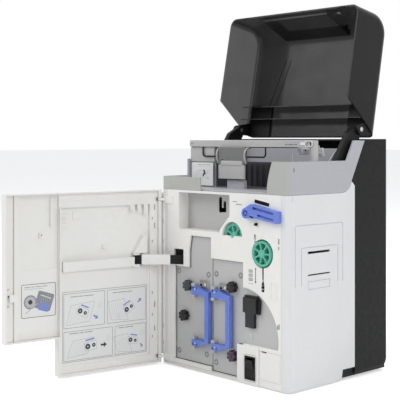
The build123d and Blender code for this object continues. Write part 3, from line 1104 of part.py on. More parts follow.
# ---------------------------------------------------------------- fixed hinge pins of hood, door and flaps
with BuildPart() as hinge_pins:
    for side in (-1, 1):
        with BuildSketch(side_plane(side * (BRACKET_OUTER - BRACKET_THICKNESS))):
            with Locations((HINGE_Y, HINGE_Z)):
                Circle(HINGE_PIN_RADIUS)
        extrude(amount=side * (BRACKET_THICKNESS + SEAM + ARM_THICKNESS))
    for low in EAR_BOTTOMS:
        with BuildSketch(level_plane(low - 6.5)):
            with Locations((DOOR_HINGE_X, DOOR_HINGE_Y)):
                Circle(DOOR_PIN_RADIUS)
        extrude(amount=HINGE_EAR + 13.0)
    with BuildSketch(side_plane(FLAP_X_LOW)):
        with Locations((FLAP_PIN_Y, FLAP_PIN_Z)):
            Circle(FLAP_PIN_RADIUS)
    extrude(amount=FLAP_X_HIGH - FLAP_X_LOW)
    for low in (FLAP_BOTTOM - 3.0, FLAP_TOP - 4.0):
        with BuildSketch(level_plane(low)):
            with Locations((FLAP_HINGE_X, FLAP_HINGE_Y)):
                Circle(FLAP_PIN)
        extrude(amount=7.0)
save(hinge_pins, "hinge_pins")

# ---------------------------------------------------------------- film and ribbon cassettes
FRONT_PLATE = 2.5
REAR_PLATE = 2.0
CASSETTE_REAR = PLATE_FRONT + CASSETTE_DEPTH
KNOB_FRONT = PLATE_FRONT - 11.0
KNOB_LOBES = 7
KNOB_RADIUS = 7.2
LOBE_RADIUS = 2.8
CORE_RADIUS = 7.0
HANDLE_REAR = PLATE_FRONT - 1.5
HANDLE_DEPTH = 10.0
HANDLE_AXIS_Y = HANDLE_REAR - 4.0
HANDLE_LOW, HANDLE_HIGH = 46.0, 152.0
ARM_LOW, ARM_HIGH = 58.0, 137.0      # inner edges of the two handle arms
GRIP_LOW, GRIP_HIGH = 56.0, 145.0    # ends of the upright grip
TRUNNION = 1.5
LUG_HEIGHT = 4.5
FILM_SUPPLY, FILM_TAKEUP = (-84.5, 151.0), (-95.0, 96.0)
RIBBON_SUPPLY, RIBBON_TAKEUP = (28.0, 160.0), (29.0, 43.0)
FILM_HANDLE_X, RIBBON_HANDLE_X = -68.0, -17.5


def cassette_frame(outline, spots, handle_x, grip_x, rear_low, rear_high):
    """Front plate, rear plate, four tie bars and the lugs of the folding handle, moulded as one."""
    xs = [point[0] for point in outline]
    left, right = min(xs) + 2.0, grip_x + 2.0
    with BuildPart() as frame:
        extrude(draw(outline, front_plane(PLATE_FRONT + FRONT_PLATE)), amount=FRONT_PLATE)
        slab(left, right, CASSETTE_REAR - REAR_PLATE, CASSETTE_REAR, rear_low, rear_high)
        for x in (left, right - 8.0):
            for low in (rear_low, rear_high - 6.0):
                slab(x, x + 8.0, PLATE_FRONT + FRONT_PLATE, CASSETTE_REAR - REAR_PLATE, low, low + 6.0)
        for spot in spots:
            with Locations(front_plane(PLATE_FRONT).location * Location((spot[0], spot[1], 0))):
                Hole(radius=SHAFT_RADIUS + PIN_FIT, depth=CASSETTE_DEPTH)
        for low in (HANDLE_LOW - GAP - LUG_HEIGHT, ARM_LOW + GAP, ARM_HIGH - GAP - LUG_HEIGHT, HANDLE_HIGH + GAP):
            slab(handle_x - 4.0, handle_x + 4.0, HANDLE_AXIS_Y - 3.5, PLATE_FRONT, low, low + LUG_HEIGHT)
        for low in (HANDLE_LOW - LUG_HEIGHT - 1.0, ARM_HIGH - LUG_HEIGHT - 1.0):
            with BuildSketch(level_plane(low)):
                with Locations((handle_x, HANDLE_AXIS_Y)):
                    Circle(TRUNNION + PIN_FIT)
            extrude(amount=ARM_LOW - HANDLE_LOW + 2 * LUG_HEIGHT + 6.0, mode=Mode.SUBTRACT)
        slab(handle_x + 14.0, handle_x + 33.0, PLATE_FRONT - 5.0, PLATE_FRONT, HANDLE_HIGH + GAP, HANDLE_HIGH + 13.0)
    return frame.part


def spool(centre, roll_radius):
    """A wound roll on its core with a journal at each end, turned about its own axis."""
    with BuildPart() as roll:
        with BuildSketch(Plane(origin=(centre[0], 0, centre[1]), x_dir=(1, 0, 0), z_dir=(0, 0, 1))):
            with BuildLine():
                Polyline(
                    (0, KNOB_FRONT + 3.0), (SHAFT_RADIUS, KNOB_FRONT + 3.0), (SHAFT_RADIUS, PLATE_FRONT + 5.0),
                    (CORE_RADIUS, PLATE_FRONT + 5.0), (CORE_RADIUS, PLATE_FRONT + 9.0),
                    (roll_radius, PLATE_FRONT + 9.0), (roll_radius, CASSETTE_REAR - 11.0),
                    (CORE_RADIUS, CASSETTE_REAR - 11.0), (CORE_RADIUS, CASSETTE_REAR - 5.0),
                    (SHAFT_RADIUS, CASSETTE_REAR - 5.0), (SHAFT_RADIUS, CASSETTE_REAR + 0.5),
                    (0, CASSETTE_REAR + 0.5), close=True,
                )
            make_face()
        revolve(axis=Axis((centre[0], 0, centre[1]), (0, 1, 0)))
    return roll.part


def spool_knob(centre):
    """A lobed finger knob that fits over the front journal of a spool."""
    with BuildPart() as knob:
        with BuildSketch(front_plane(PLATE_FRONT - 1.0)):
            with Locations(centre):
                Circle(KNOB_RADIUS)
                with PolarLocations(KNOB_RADIUS, KNOB_LOBES):
                    Circle(LOBE_RADIUS)
        extrude(amount=PLATE_FRONT - 1.0 - KNOB_FRONT)
        chamfer(knob.faces().sort_by(Axis.Y)[0].edges(), 0.8)
        with BuildSketch(front_plane(PLATE_FRONT)):
            with Locations(centre):
                Circle(SHAFT_RADIUS)
        extrude(amount=PLATE_FRONT - KNOB_FRONT - 3.0, mode=Mode.SUBTRACT)
    return knob.part


def fold_handle(handle_x, grip_left, grip_right):
    """A flat pull handle: two arms on trunnions and an upright grip."""
    with BuildPart() as handle:
        outline = [
            (handle_x - 3.0, HANDLE_LOW), (handle_x - 3.0, HANDLE_HIGH), (handle_x + 13.0, HANDLE_HIGH),
            (grip_right, GRIP_HIGH), (grip_right, GRIP_LOW), (handle_x + 13.0, HANDLE_LOW),
        ]
        extrude(draw(outline, front_plane(HANDLE_REAR)), amount=HANDLE_DEPTH)
        slab(handle_x - 4.0, grip_left, HANDLE_REAR - HANDLE_DEPTH - 1.0, HANDLE_REAR + 1.0,
             ARM_LOW, ARM_HIGH, mode=Mode.SUBTRACT)
        slab(handle_x - 4.0, handle_x + 16.0, HANDLE_REAR - HANDLE_DEPTH - 1.0, HANDLE_AXIS_Y - 3.5,
             HANDLE_LOW - 1.0, HANDLE_HIGH + 1.0, mode=Mode.SUBTRACT)
        fillet(handle.edges().filter_by(Axis.Z).group_by(Axis.X)[-1], 1.5)
        for low, high in ((HANDLE_LOW - 3.5, ARM_LOW + 3.5), (ARM_HIGH - 3.5, HANDLE_HIGH + 3.5)):
            with BuildSketch(level_plane(low)):
                with Locations((handle_x, HANDLE_AXIS_Y)):
                    Circle(TRUNNION)
            extrude(amount=high - low)
    return handle.part


with BuildPart() as film_frame:
    add(cassette_frame(film_outline, (FILM_SUPPLY, FILM_TAKEUP), FILM_HANDLE_X, FILM_RIGHT - 6.0,
                       FILM_BOTTOM, FILM_SHOULDER - 2.0))
save(film_frame, "film_frame")

with BuildPart() as ribbon_frame:
    add(cassette_frame(ribbon_outline, (RIBBON_SUPPLY, RIBBON_TAKEUP), RIBBON_HANDLE_X, RIBBON_STEP_X - 4.0,
                       RIBBON_BOTTOM, RIBBON_TOP - 6.0))
save(ribbon_frame, "ribbon_frame")

ROLLS = [
    ("film_supply", FILM_SUPPLY, 23.0),
    ("film_takeup", FILM_TAKEUP, 20.0),
    ("ribbon_supply", RIBBON_SUPPLY, 21.0),
    ("ribbon_takeup", RIBBON_TAKEUP, 10.5),
]
for name, centre, roll_radius in ROLLS:
    with BuildPart() as roll:
        add(spool(centre, roll_radius))
    save(roll, f"{name}_roll")
    with BuildPart() as knob:
        add(spool_knob(centre))
    save(knob, f"{name}_knob")

with BuildPart() as film_handle:
    add(fold_handle(FILM_HANDLE_X, -35.0, -27.0))
save(film_handle, "film_handle")

with BuildPart() as ribbon_handle:
    add(fold_handle(RIBBON_HANDLE_X, 17.0, 26.0))
save(ribbon_handle, "ribbon_handle")

# ---------------------------------------------------------------- works at the back
with BuildPart() as power_supply:
    slab(-140.0, -60.0, 24.0, BACK_Y - INLET_DEPTH - 2.0, FLOOR, FLOOR + 52.0)
save(power_supply, "power_supply")

BOARD_Y = BACK_Y - WALL - 11.0
with BuildPart() as main_board:
    slab(-40.0, 140.0, BOARD_Y - 1.6, BOARD_Y, 64.0, 300.0)
    slab(0.0, 40.0, BOARD_Y - 5.6, BOARD_Y - 1.6, 150.0, 190.0)
    slab(70.0, 120.0, BOARD_Y - 14.0, BOARD_Y - 1.6, 90.0, 100.0)
    slab(70.0, 120.0, BOARD_Y - 14.0, BOARD_Y - 1.6, 260.0, 270.0)
save(main_board, "main_board")

with BuildPart() as board_standoffs:
    with BuildSketch(front_plane(BACK_Y - WALL)):
        with Locations((50.0, 182.0)):
            with GridLocations(168.0, 224.0, 2, 2):
                Circle(3.5)
    extrude(amount=BACK_Y - WALL - BOARD_Y)
save(board_standoffs, "board_standoffs")

with BuildPart() as rear_inlet:
    slab(INLET_X - INLET_WIDTH / 2 + GAP, INLET_X + INLET_WIDTH / 2 - GAP, BACK_Y - INLET_DEPTH, BACK_Y - 0.5,
         INLET_Z - INLET_HEIGHT / 2 + GAP, INLET_Z + INLET_HEIGHT / 2 - GAP)
    slab(INLET_X - INLET_WIDTH / 2 - 4.0, INLET_X + INLET_WIDTH / 2 + 4.0, BACK_Y - WALL - 2.0, BACK_Y - WALL,
         INLET_Z - INLET_HEIGHT / 2 - 2.0, INLET_Z + INLET_HEIGHT / 2 + 2.0)
    slab(INLET_X - INLET_WIDTH / 2 + 2.5, INLET_X + INLET_WIDTH / 2 - 2.5, BACK_Y - 16.0, BACK_Y,
         INLET_Z - INLET_HEIGHT / 2 + 3.0, INLET_Z + INLET_HEIGHT / 2 - 3.0, mode=Mode.SUBTRACT)
    with BuildSketch(front_plane(BACK_Y - 16.0)):
        with Locations((INLET_X - 7.0, INLET_Z - 2.0), (INLET_X, INLET_Z + 3.0), (INLET_X + 7.0, INLET_Z - 2.0)):
            Rectangle(2.0, 4.0)
    extrude(amount=-12.0)
save(rear_inlet, "rear_inlet")

with BuildPart() as port_panel:
    slab(PORT_X - PORT_WIDTH / 2 - 3.0, PORT_X + PORT_WIDTH / 2 + 3.0, BACK_Y - WALL - 1.5, BACK_Y - WALL,
         PORT_Z - PORT_HEIGHT / 2 - 3.0, PORT_Z + PORT_HEIGHT / 2 + 3.0)
    slab(PORT_X - 22.0, PORT_X - 10.0, BACK_Y - WALL - 4.0, BACK_Y, PORT_Z - 5.5, PORT_Z + 5.5, mode=Mode.SUBTRACT)
    slab(PORT_X + 4.0, PORT_X + 20.0, BACK_Y - WALL - 4.0, BACK_Y, PORT_Z - 6.5, PORT_Z + 6.5, mode=Mode.SUBTRACT)
save(port_panel, "port_panel")

with BuildPart() as feed_motor:
    slab(40.0, 82.0, CHASSIS_FRONT + CHASSIS_WALL, CHASSIS_FRONT + CHASSIS_WALL + 40.0, 130.0, 172.0)
    fillet(feed_motor.edges().filter_by(Axis.Y), 4.0)
save(feed_motor, "feed_motor")

with BuildPart() as print_head:
    slab(60.0, 90.0, CHASSIS_FRONT - 100.0, CHASSIS_FRONT, 176.0, 192.0)
    slab(64.0, 70.0, CHASSIS_FRONT - 100.0, CHASSIS_FRONT - 6.0, 168.0, 176.0)
save(print_head, "print_head")
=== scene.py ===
import json
import math

import bpy
import numpy as np
from bpy.props import FloatProperty, FloatVectorProperty, IntProperty, PointerProperty
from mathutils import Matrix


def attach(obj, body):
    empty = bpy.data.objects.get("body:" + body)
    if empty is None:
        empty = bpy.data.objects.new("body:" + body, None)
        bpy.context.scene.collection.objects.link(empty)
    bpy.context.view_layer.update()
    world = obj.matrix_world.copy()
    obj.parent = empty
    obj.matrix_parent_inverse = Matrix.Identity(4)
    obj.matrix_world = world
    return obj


bl_info = {
    "name": "Card Printer Studio",
    "version": (1, 0, 0),
    "blender": (4, 5, 0),
    "location": "View3D > Sidebar > Card Printer",
    "description": "Finishes and small parts of a desktop card printer with its hood and door open",
    "category": "Add Mesh",
}

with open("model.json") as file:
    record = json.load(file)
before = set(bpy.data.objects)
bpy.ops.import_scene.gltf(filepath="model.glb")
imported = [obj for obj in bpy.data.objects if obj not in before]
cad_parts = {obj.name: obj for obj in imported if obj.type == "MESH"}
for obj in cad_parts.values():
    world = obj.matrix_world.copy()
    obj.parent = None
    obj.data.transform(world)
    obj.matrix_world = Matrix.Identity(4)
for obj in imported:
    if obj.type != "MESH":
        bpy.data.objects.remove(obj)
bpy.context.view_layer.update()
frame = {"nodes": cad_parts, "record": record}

MM = 0.001
HOOD_HALF_WIDTH = 0.1545

# The studio: a camera level with the middle of the body, and three soft boxes as
# (name, place, aim, side, watts).
BEARING = 47.3
EYE = (1.21984, -1.30671)
LENS = 88.2
FRAME_SHIFT = -0.1525
FLOOR_GLOW = 0.5
LAMPS = (
    ("KeyLamp", (-1.5, -2.6, 2.6), (0.0, 0.0, 0.2), 2.4, 62.0),
    ("SideLamp", (2.9, -0.6, 1.9), (0.1, 0.0, 0.2), 2.2, 40.0),
    ("TopLamp", (0.2, 0.9, 3.1), (0.0, 0.0, 0.3), 2.6, 36.0),
)


# ---------------------------------------------------------------- settings
def colour_setting(name, description, default):
    """A colour that the user picks in the sidebar."""
    limits = {"size": 3, "min": 0.0, "max": 1.0, "subtype": "COLOR"}
    return FloatVectorProperty(name=name, description=description, default=default, **limits)


def length_setting(name, description, default):
    """A length in metres that the user picks in the sidebar."""
    kind = {"min": 0.0, "unit": "LENGTH", "subtype": "DISTANCE"}
    return FloatProperty(name=name, description=description, default=default, **kind)


class PrinterFinishes(bpy.types.PropertyGroup):
    """Colours of the printer's plastics and metals"""

    side_white: colour_setting("Side panels", "Cool white of the two side panels", (0.74, 0.745, 0.755))
    trim_grey: colour_setting("Upper trim", "Lilac grey of trim and upper deck", (0.44, 0.44, 0.475))
    cream: colour_setting("Front and door", "Warm white of the fascia and the door", (0.83, 0.82, 0.79))
    rear_black: colour_setting("Rear cover", "Black of the rear cover", (0.0075, 0.0075, 0.0078))
    plate_grey: colour_setting("Cassette plates", "Grey of plates behind the fascia", (0.50, 0.50, 0.495))
    hopper_grey: colour_setting("Upper unit", "Light grey of crossbar and hopper front", (0.45, 0.45, 0.44))
    flap_grey: colour_setting("Flap bracket", "Mid grey of bracket over the flap", (0.165, 0.165, 0.165))
    dark_grey: colour_setting("Hopper", "Dark bluish grey of the card hopper", (0.085, 0.085, 0.095))
    smoke: colour_setting("Hood", "Smoke colour of the see-through hood", (0.020, 0.019, 0.020))
    handle_blue: colour_setting("Handles", "Cornflower blue of handles and lever", (0.135, 0.215, 0.66))
    wheel_teal: colour_setting("Thumb wheels", "Mint green of the two thumb wheels", (0.10, 0.50, 0.37))
    knob_grey: colour_setting("Grey knob", "Dark grey of the film supply knob", (0.060, 0.062, 0.066))
    knob_purple: colour_setting("Purple knob", "Dark purple of the ribbon knob", (0.040, 0.012, 0.048))
    steel: colour_setting("Steel", "Zinc plated sheet and pins", (0.55, 0.55, 0.56))
    floor: colour_setting("Floor", "Pale floor and backdrop", (0.86, 0.86, 0.86))


class PrinterSizes(bpy.types.PropertyGroup):
    """Sizes of the small pieces and the studio"""

    screw_head: length_setting("Screw head", "Diameter of the cross-recess screw heads", 0.0056)
    label_thickness: length_setting("Label", "Thickness of the printed labels", 0.00012)
    floor_size: length_setting("Floor", "Side of the square floor", 60.0)
    round_steps: IntProperty(
        name="Round steps", description="Steps round a turned piece", default=32, min=8, max=96
    )
    eye_height: length_setting("Eye height", "Height of the camera above the desk", 0.413)


# ---------------------------------------------------------------- node trees
MIX_COLOURS = slice(6, 8)  # the two colour inputs of a Mix node
MIX_RESULT = 2  # and its colour output
WHITE = (1.0, 1.0, 1.0, 1.0)


class Nodes:
    """A node tree, with short calls that add a node and feed its inputs."""

    def __init__(self, tree):
        self.tree = tree
        tree.nodes.clear()

    def feed(self, socket, value):
        """Link a socket to another one, or set its own value."""
        if hasattr(value, "node"):
            self.tree.links.new(value, socket)
        else:
            socket.default_value = value

    def fill(self, node, inputs):
        """Feed a node's inputs by name, where an underscore stands for a space."""
        for name, value in inputs.items():
            self.feed(node.inputs[name.replace("_", " ")], value)
        return node

    def node(self, kind, **inputs):
        return self.fill(self.tree.nodes.new("ShaderNode" + kind), inputs)

    def maths(self, kind, first, second):
        """Two values through one Math node."""
        node = self.node("Math")
        node.operation = kind
        for socket, value in zip(node.inputs, (first, second)):
            self.feed(socket, value)
        return node.outputs["Value"]

    def seen_directly(self):
        """1 for camera, mirror and see-through rays, 0 for the rays that light the scene."""
        path = self.node("LightPath").outputs
        seen = self.maths("MAXIMUM", path["Is Camera Ray"], path["Is Glossy Ray"])
        return self.maths("MAXIMUM", seen, path["Is Transmission Ray"])


class Finish(Nodes):
    """One material's node tree, with short calls for the patterns that the finishes share."""

    def __init__(self, name):
        self.material = bpy.data.materials.new(name)
        self.material.use_nodes = True
        super().__init__(self.material.node_tree)
        self.shader = self.node("BsdfPrincipled")
        self.output = self.node("OutputMaterial", Surface=self.shader.outputs["BSDF"])
        self.place = self.node("TexCoord").outputs["Object"]

    def surface(self, base, roughness, relief=None, **others):
        """Feed the shader: its colour, roughness and relief, then any other input by name."""
        inputs = {"Base_Color": base, "Roughness": roughness, **others}
        if relief is not None:
            inputs["Normal"] = relief
        self.fill(self.shader, inputs)
        return self.material

    def stretched(self, scale):
        """Object coordinates with their own scale on each axis."""
        return self.node("Mapping", Vector=self.place, Scale=scale).outputs["Vector"]

    def along(self, axis):
        """One object coordinate, in metres."""
        return self.node("SeparateXYZ", Vector=self.place).outputs[axis]

    def noise(self, scale, detail=2.0, roughness=0.5, place=None):
        inputs = {"Vector": place or self.place, "Scale": scale, "Detail": detail, "Roughness": roughness}
        return self.node("TexNoise", **inputs).outputs["Fac"]

    def cells(self, scale, feature="F1"):
        node = self.node("TexVoronoi", Vector=self.place, Scale=scale)
        node.feature = feature
        return node.outputs["Distance"]

    def mapped(self, value, low, high, to_low=0.0, to_high=1.0):
        """A value's span stretched to another span, and held at its ends."""
        spans = {"From_Min": low, "From_Max": high, "To_Min": to_low, "To_Max": to_high}
        return self.node("MapRange", Value=value, **spans).outputs["Result"]

    def blended(self, share, first, second):
        """Two colours mixed by a share of the second."""
        node = self.node("Mix")
        node.data_type = "RGBA"
        self.feed(node.inputs["Factor"], share)
        for socket, colour in zip(node.inputs[MIX_COLOURS], (first, second)):
            self.feed(socket, colour if hasattr(colour, "node") else (*colour, 1.0))
        return node.outputs[MIX_RESULT]

    def toned(self, value, low, high, first, second):
        """The first colour at a value's low end, the second at its high end."""
        return self.blended(self.mapped(value, low, high), first, second)

    def relief(self, height, distance, strength):
        return self.node("Bump", Strength=strength, Distance=distance, Height=height).outputs["Normal"]


def tinted(colour, factor):
    """A colour made lighter or darker, kept between black and white."""
    return tuple(min(1.0, max(0.0, c * factor)) for c in colour)


def moulded(name, colour, roughness=0.42, grain=1500, depth=0.00003, mottle=0.04, flow=0.03, specular=0.42):
    """Moulded plastic: spark-eroded grain, slow tone drift from the melt flow and slightly uneven gloss."""
    f = Finish(name)
    drift = f.noise(7.0, 2.0, 0.55, f.stretched((1.0, 1.0, 0.45)))
    clouds = f.noise(95.0, 3.0, 0.6)
    base = f.toned(drift, 0.3, 0.7, tinted(colour, 1.0 - flow), tinted(colour, 1.0 + flow))
    base = f.blended(f.mapped(clouds, 0.42, 0.72, 0.0, mottle * 10.0), base, tinted(colour, 1.0 - mottle))
    fine = f.maths("MULTIPLY", f.noise(grain, 2.0, 0.6), 0.7)
    pits = f.maths("MULTIPLY", f.cells(grain * 0.55), 0.5)
    gloss = f.mapped(clouds, 0.25, 0.8, roughness - 0.07, roughness + 0.08)
    relief = f.relief(f.maths("ADD", fine, pits), depth, 0.6)
    return f.surface(base, gloss, relief, Specular_IOR_Level=specular)


def glossy_moulded(name, colour, roughness=0.24, depth=0.00002, coat=0.15):
    """Polished moulding: nearly smooth, with faint sink waves and fine scuffs in the gloss."""
    f = Finish(name)
    base = f.toned(f.noise(30.0, 2.0, 0.5), 0.3, 0.7, tinted(colour, 0.93), tinted(colour, 1.06))
    scuffs = f.noise(420.0, 3.0, 0.65, f.stretched((1.0, 1.0, 0.12)))
    gloss = f.mapped(scuffs, 0.3, 0.75, roughness - 0.05, roughness + 0.1)
    waves = f.relief(f.noise(240.0, 2.0, 0.5), depth, 0.5)
    return f.surface(base, gloss, waves, Coat_Weight=coat, Coat_Roughness=0.12)


def sheet_steel(name, colour, roughness=0.36):
    """Zinc plated sheet: rolling lines along X, spangle cells and a grey bloom."""
    f = Finish(name)
    lines = f.noise(900.0, 2.0, 0.6, f.stretched((0.02, 1.0, 1.0)))
    base = f.toned(f.cells(160.0), 0.0, 0.8, tinted(colour, 0.84), tinted(colour, 1.08))
    gloss = f.mapped(lines, 0.3, 0.7, roughness - 0.08, roughness + 0.1)
    return f.surface(base, gloss, f.relief(lines, 0.00002, 0.5), Metallic=1.0)


def rubber(name, colour):
    """Ground rubber: dull, with a peppered surface."""
    f = Finish(name)
    pepper = f.noise(2200.0, 2.0, 0.7)
    base = f.toned(pepper, 0.35, 0.7, tinted(colour, 0.8), tinted(colour, 1.5))
    return f.surface(base, f.mapped(pepper, 0.3, 0.7, 0.62, 0.82), f.relief(pepper, 0.00006, 0.8))


def smoked(name, colour, top_alpha, left_painted_light_alpha, right_alpha):
    """Smoked see-through plastic with dust in its gloss; each side wall has its own alpha, the left one
    much lower so that it shows lighter than the right, which is painted light.
    """
    f = Finish(name)
    haze = f.noise(26.0, 3.0, 0.55)
    dust = f.mapped(f.noise(900.0, 2.0, 0.7), 0.62, 0.8, 0.0, 0.3)
    base = f.blended(dust, colour, (0.16, 0.155, 0.155))
    across = f.along("X")
    side, edge = HOOD_HALF_WIDTH, 0.0004
    # Painted light: the left wall's alpha falls well below the top's, so it shows lighter, as a lit side
    # does; the right wall stays near the top's alpha.
    left = f.mapped(across, -side - edge, -side + edge, left_painted_light_alpha - top_alpha, 0.0)
    right = f.mapped(across, side - edge, side + edge, 0.0, right_alpha - top_alpha)
    top = f.mapped(haze, 0.2, 0.8, top_alpha - 0.015, top_alpha + 0.015)
    return f.surface(
        base, f.mapped(haze, 0.3, 0.7, 0.12, 0.22), f.relief(f.noise(14.0, 2.0, 0.5), 0.0004, 0.25),
        Specular_IOR_Level=0.16, Alpha=f.maths("ADD", top, f.maths("ADD", left, right)),
    )


def clear_plastic(name, colour, alpha):
    """Clear moulded plastic with a painted sheen: bright edges where the mould's skin is wavy, made by a
    noise that turns the colour paler and less see-through; see-through elsewhere.
    """
    f = Finish(name)
    waves = f.noise(160.0, 3.0, 0.6)
    # Painted sheen: where the noise runs high the colour is paler and the alpha higher, standing in for
    # glints off the wavy skin; the same noise also drives the relief.
    return f.surface(
        f.toned(waves, 0.35, 0.65, tinted(colour, 0.7), colour),
        f.mapped(waves, 0.3, 0.7, 0.05, 0.2), f.relief(waves, 0.0005, 0.7),
        Alpha=f.mapped(waves, 0.35, 0.65, alpha - 0.2, alpha + 0.2),
    )


def printed(name, colour, roughness=0.5):
    """Ink or label stock: paper fibre in the tone, a dull varnish over it."""
    f = Finish(name)
    fibre = f.noise(1400.0, 3.0, 0.65)
    gloss = f.mapped(fibre, 0.3, 0.7, roughness - 0.06, roughness + 0.06)
    base = f.toned(fibre, 0.3, 0.7, tinted(colour, 0.94), colour)
    return f.surface(base, gloss, f.relief(fibre, 0.00001, 0.4))


def two_tone(name, colour, second, edge_y, roughness=0.48):
    """Moulded plastic whose front strip, ahead of a depth given in metres, takes a second, warmer grey."""
    f = Finish(name)
    clouds = f.noise(95.0, 3.0, 0.6)
    wave = f.mapped(f.noise(60.0, 2.0, 0.5), 0.3, 0.7, -0.0004, 0.0004)
    depth = f.maths("ADD", f.along("Y"), wave)
    tone = f.toned(depth, edge_y - 0.0003, edge_y + 0.0003, second, colour)
    base = f.blended(f.mapped(clouds, 0.42, 0.72, 0.0, 0.35), tone, tinted(colour, 0.95))
    gloss = f.mapped(clouds, 0.25, 0.8, roughness - 0.07, roughness + 0.08)
    return f.surface(base, gloss, f.relief(f.noise(1400.0, 2.0, 0.6), 0.00003, 0.6))


def circuit_board(name):
    """Green board: solder mask with copper runs and pads under it."""
    f = Finish(name)
    runs = f.cells(230.0, "DISTANCE_TO_EDGE")
    base = f.toned(runs, 0.02, 0.06, (0.02, 0.11, 0.05), (0.012, 0.055, 0.03))
    return f.surface(base, f.mapped(runs, 0.0, 0.2, 0.3, 0.42), f.relief(runs, 0.0001, 0.4))


def wound_film(name, colour):
    """Wound film: turns seen as fine rings round the spool, with a silky shine."""
    f = Finish(name)
    turns = f.noise(5200.0, 1.0, 0.5, f.stretched((1.0, 0.03, 1.0)))
    base = f.toned(turns, 0.3, 0.7, tinted(colour, 0.7), tinted(colour, 1.6))
    gloss = f.mapped(turns, 0.3, 0.7, 0.16, 0.34)
    return f.surface(base, gloss, f.relief(turns, 0.00002, 0.6), Coat_Weight=0.3, Coat_Roughness=0.1)


def make_finishes(paints):
    """Every finish by the name that the nodes and small pieces use."""
    return {
        "side_white": moulded("SideWhite", paints.side_white, 0.46, 1300.0, 0.00003),
        "trim_grey": moulded("TrimGrey", paints.trim_grey, 0.48, 1300.0),
        "cream": moulded("Cream", paints.cream, 0.44, 1600.0),
        "black_plastic": moulded("RearBlack", paints.rear_black, 0.52, 1100.0, 0.00005, 0.2, 0.15, 0.2),
        "plate_grey": moulded("PlateGrey", paints.plate_grey, 0.38, 1900.0, 0.00002),
        "hopper_grey": moulded("HopperGrey", paints.hopper_grey, 0.40, 1700.0, 0.00002),
        "flap_grey": moulded("FlapGrey", paints.flap_grey, 0.42, 1700.0),
        "dark_grey": moulded("HopperDark", paints.dark_grey, 0.44, 1400.0, 0.00004, 0.12, 0.1),
        # The lower alpha on the hood's left wall is painted light.
        "smoke": smoked("SmokedHood", paints.smoke, 0.885, 0.70, 0.86),
        "blue": glossy_moulded("HandleBlue", paints.handle_blue, 0.28),
        "teal": glossy_moulded("WheelTeal", paints.wheel_teal, 0.26),
        "purple": glossy_moulded("KnobPurple", paints.knob_purple, 0.3),
        "knob_grey": moulded("KnobGrey", paints.knob_grey, 0.4, 1800.0),
        "knob_black": moulded("KnobBlack", (0.010, 0.010, 0.011), 0.36, 1800.0, 0.00003, 0.2, 0.1),
        "steel": sheet_steel("ZincSteel", paints.steel),
        "roll_dark": wound_film("WoundFilm", (0.016, 0.016, 0.020)),
        "rubber_black": rubber("RubberBlack", (0.016, 0.016, 0.017)),
        "board_green": circuit_board("BoardGreen"),
        "window_grey": moulded("WindowGrey", tinted(paints.plate_grey, 0.96), 0.42, 1900.0, 0.00002),
        "trim_front": two_tone("TrimFront", paints.trim_grey, (0.43, 0.435, 0.405), -0.1278),
        # Darker plate grey: the stop blocks' own colour, and painted shade in the dimples.
        "block_grey": moulded("BlockGrey", tinted(paints.plate_grey, 0.52), 0.46, 1700.0),
        "label_paper": printed("LabelPaper", (0.80, 0.80, 0.79)),
        "ink_black": printed("InkBlack", (0.03, 0.03, 0.032)),
        # Grey ink for print, also used as painted shade inside the fascia's small slots.
        "grey_ink_and_slot_shade": printed("GreyInkAndSlotShade", (0.26, 0.26, 0.28)),
        "ink_pale": printed("InkPale", (0.50, 0.50, 0.53)),
        "ink_blue": printed("InkBlue", (0.20, 0.27, 0.62)),
        # The clear guide's paler, denser patches are painted sheen.
        "clear": clear_plastic("ClearGuide", (0.74, 0.74, 0.76), 0.6),
        # Near-black plastic: the own colour of small dark parts, and painted shade where it fills the
        # fascia's long slot and the screws' cross recesses.
        "gap_dark": moulded("GapDark", (0.012, 0.012, 0.012), 0.7, 900.0, 0.00004, 0.2, 0.1, 0.1),
        "pale_white": moulded("PaleWhite", (0.82, 0.82, 0.81), 0.40, 1700.0),
        "screw_steel": sheet_steel("ScrewSteel", tinted(paints.steel, 0.9), 0.30),
        "port_steel": sheet_steel("PortSteel", tinted(paints.steel, 1.1), 0.34),
    }


FINISH = {}
SPECIAL = {"window_plate": "window_grey", "right_trim": "trim_front", "left_trim": "trim_front"}


# ---------------------------------------------------------------- operators
class PRINTER_OT_finish_frame(bpy.types.Operator):
    """Give every moulded and metal part of the printer its finish"""

    bl_idname = "printer.finish_frame"
    bl_label = "Finish the Printer's Parts"

    def execute(self, context):
        FINISH.update(make_finishes(context.scene.printer_finishes))
        slots = {row["node"]: row["material_slot"] for row in frame["record"]["subparts"]}
        for node, obj in frame["nodes"].items():
            material = FINISH[SPECIAL.get(node, slots[node])]
            if not obj.material_slots:
                obj.data.materials.append(material)
            for place in obj.material_slots:
                place.material = material
        return {"FINISHED"}


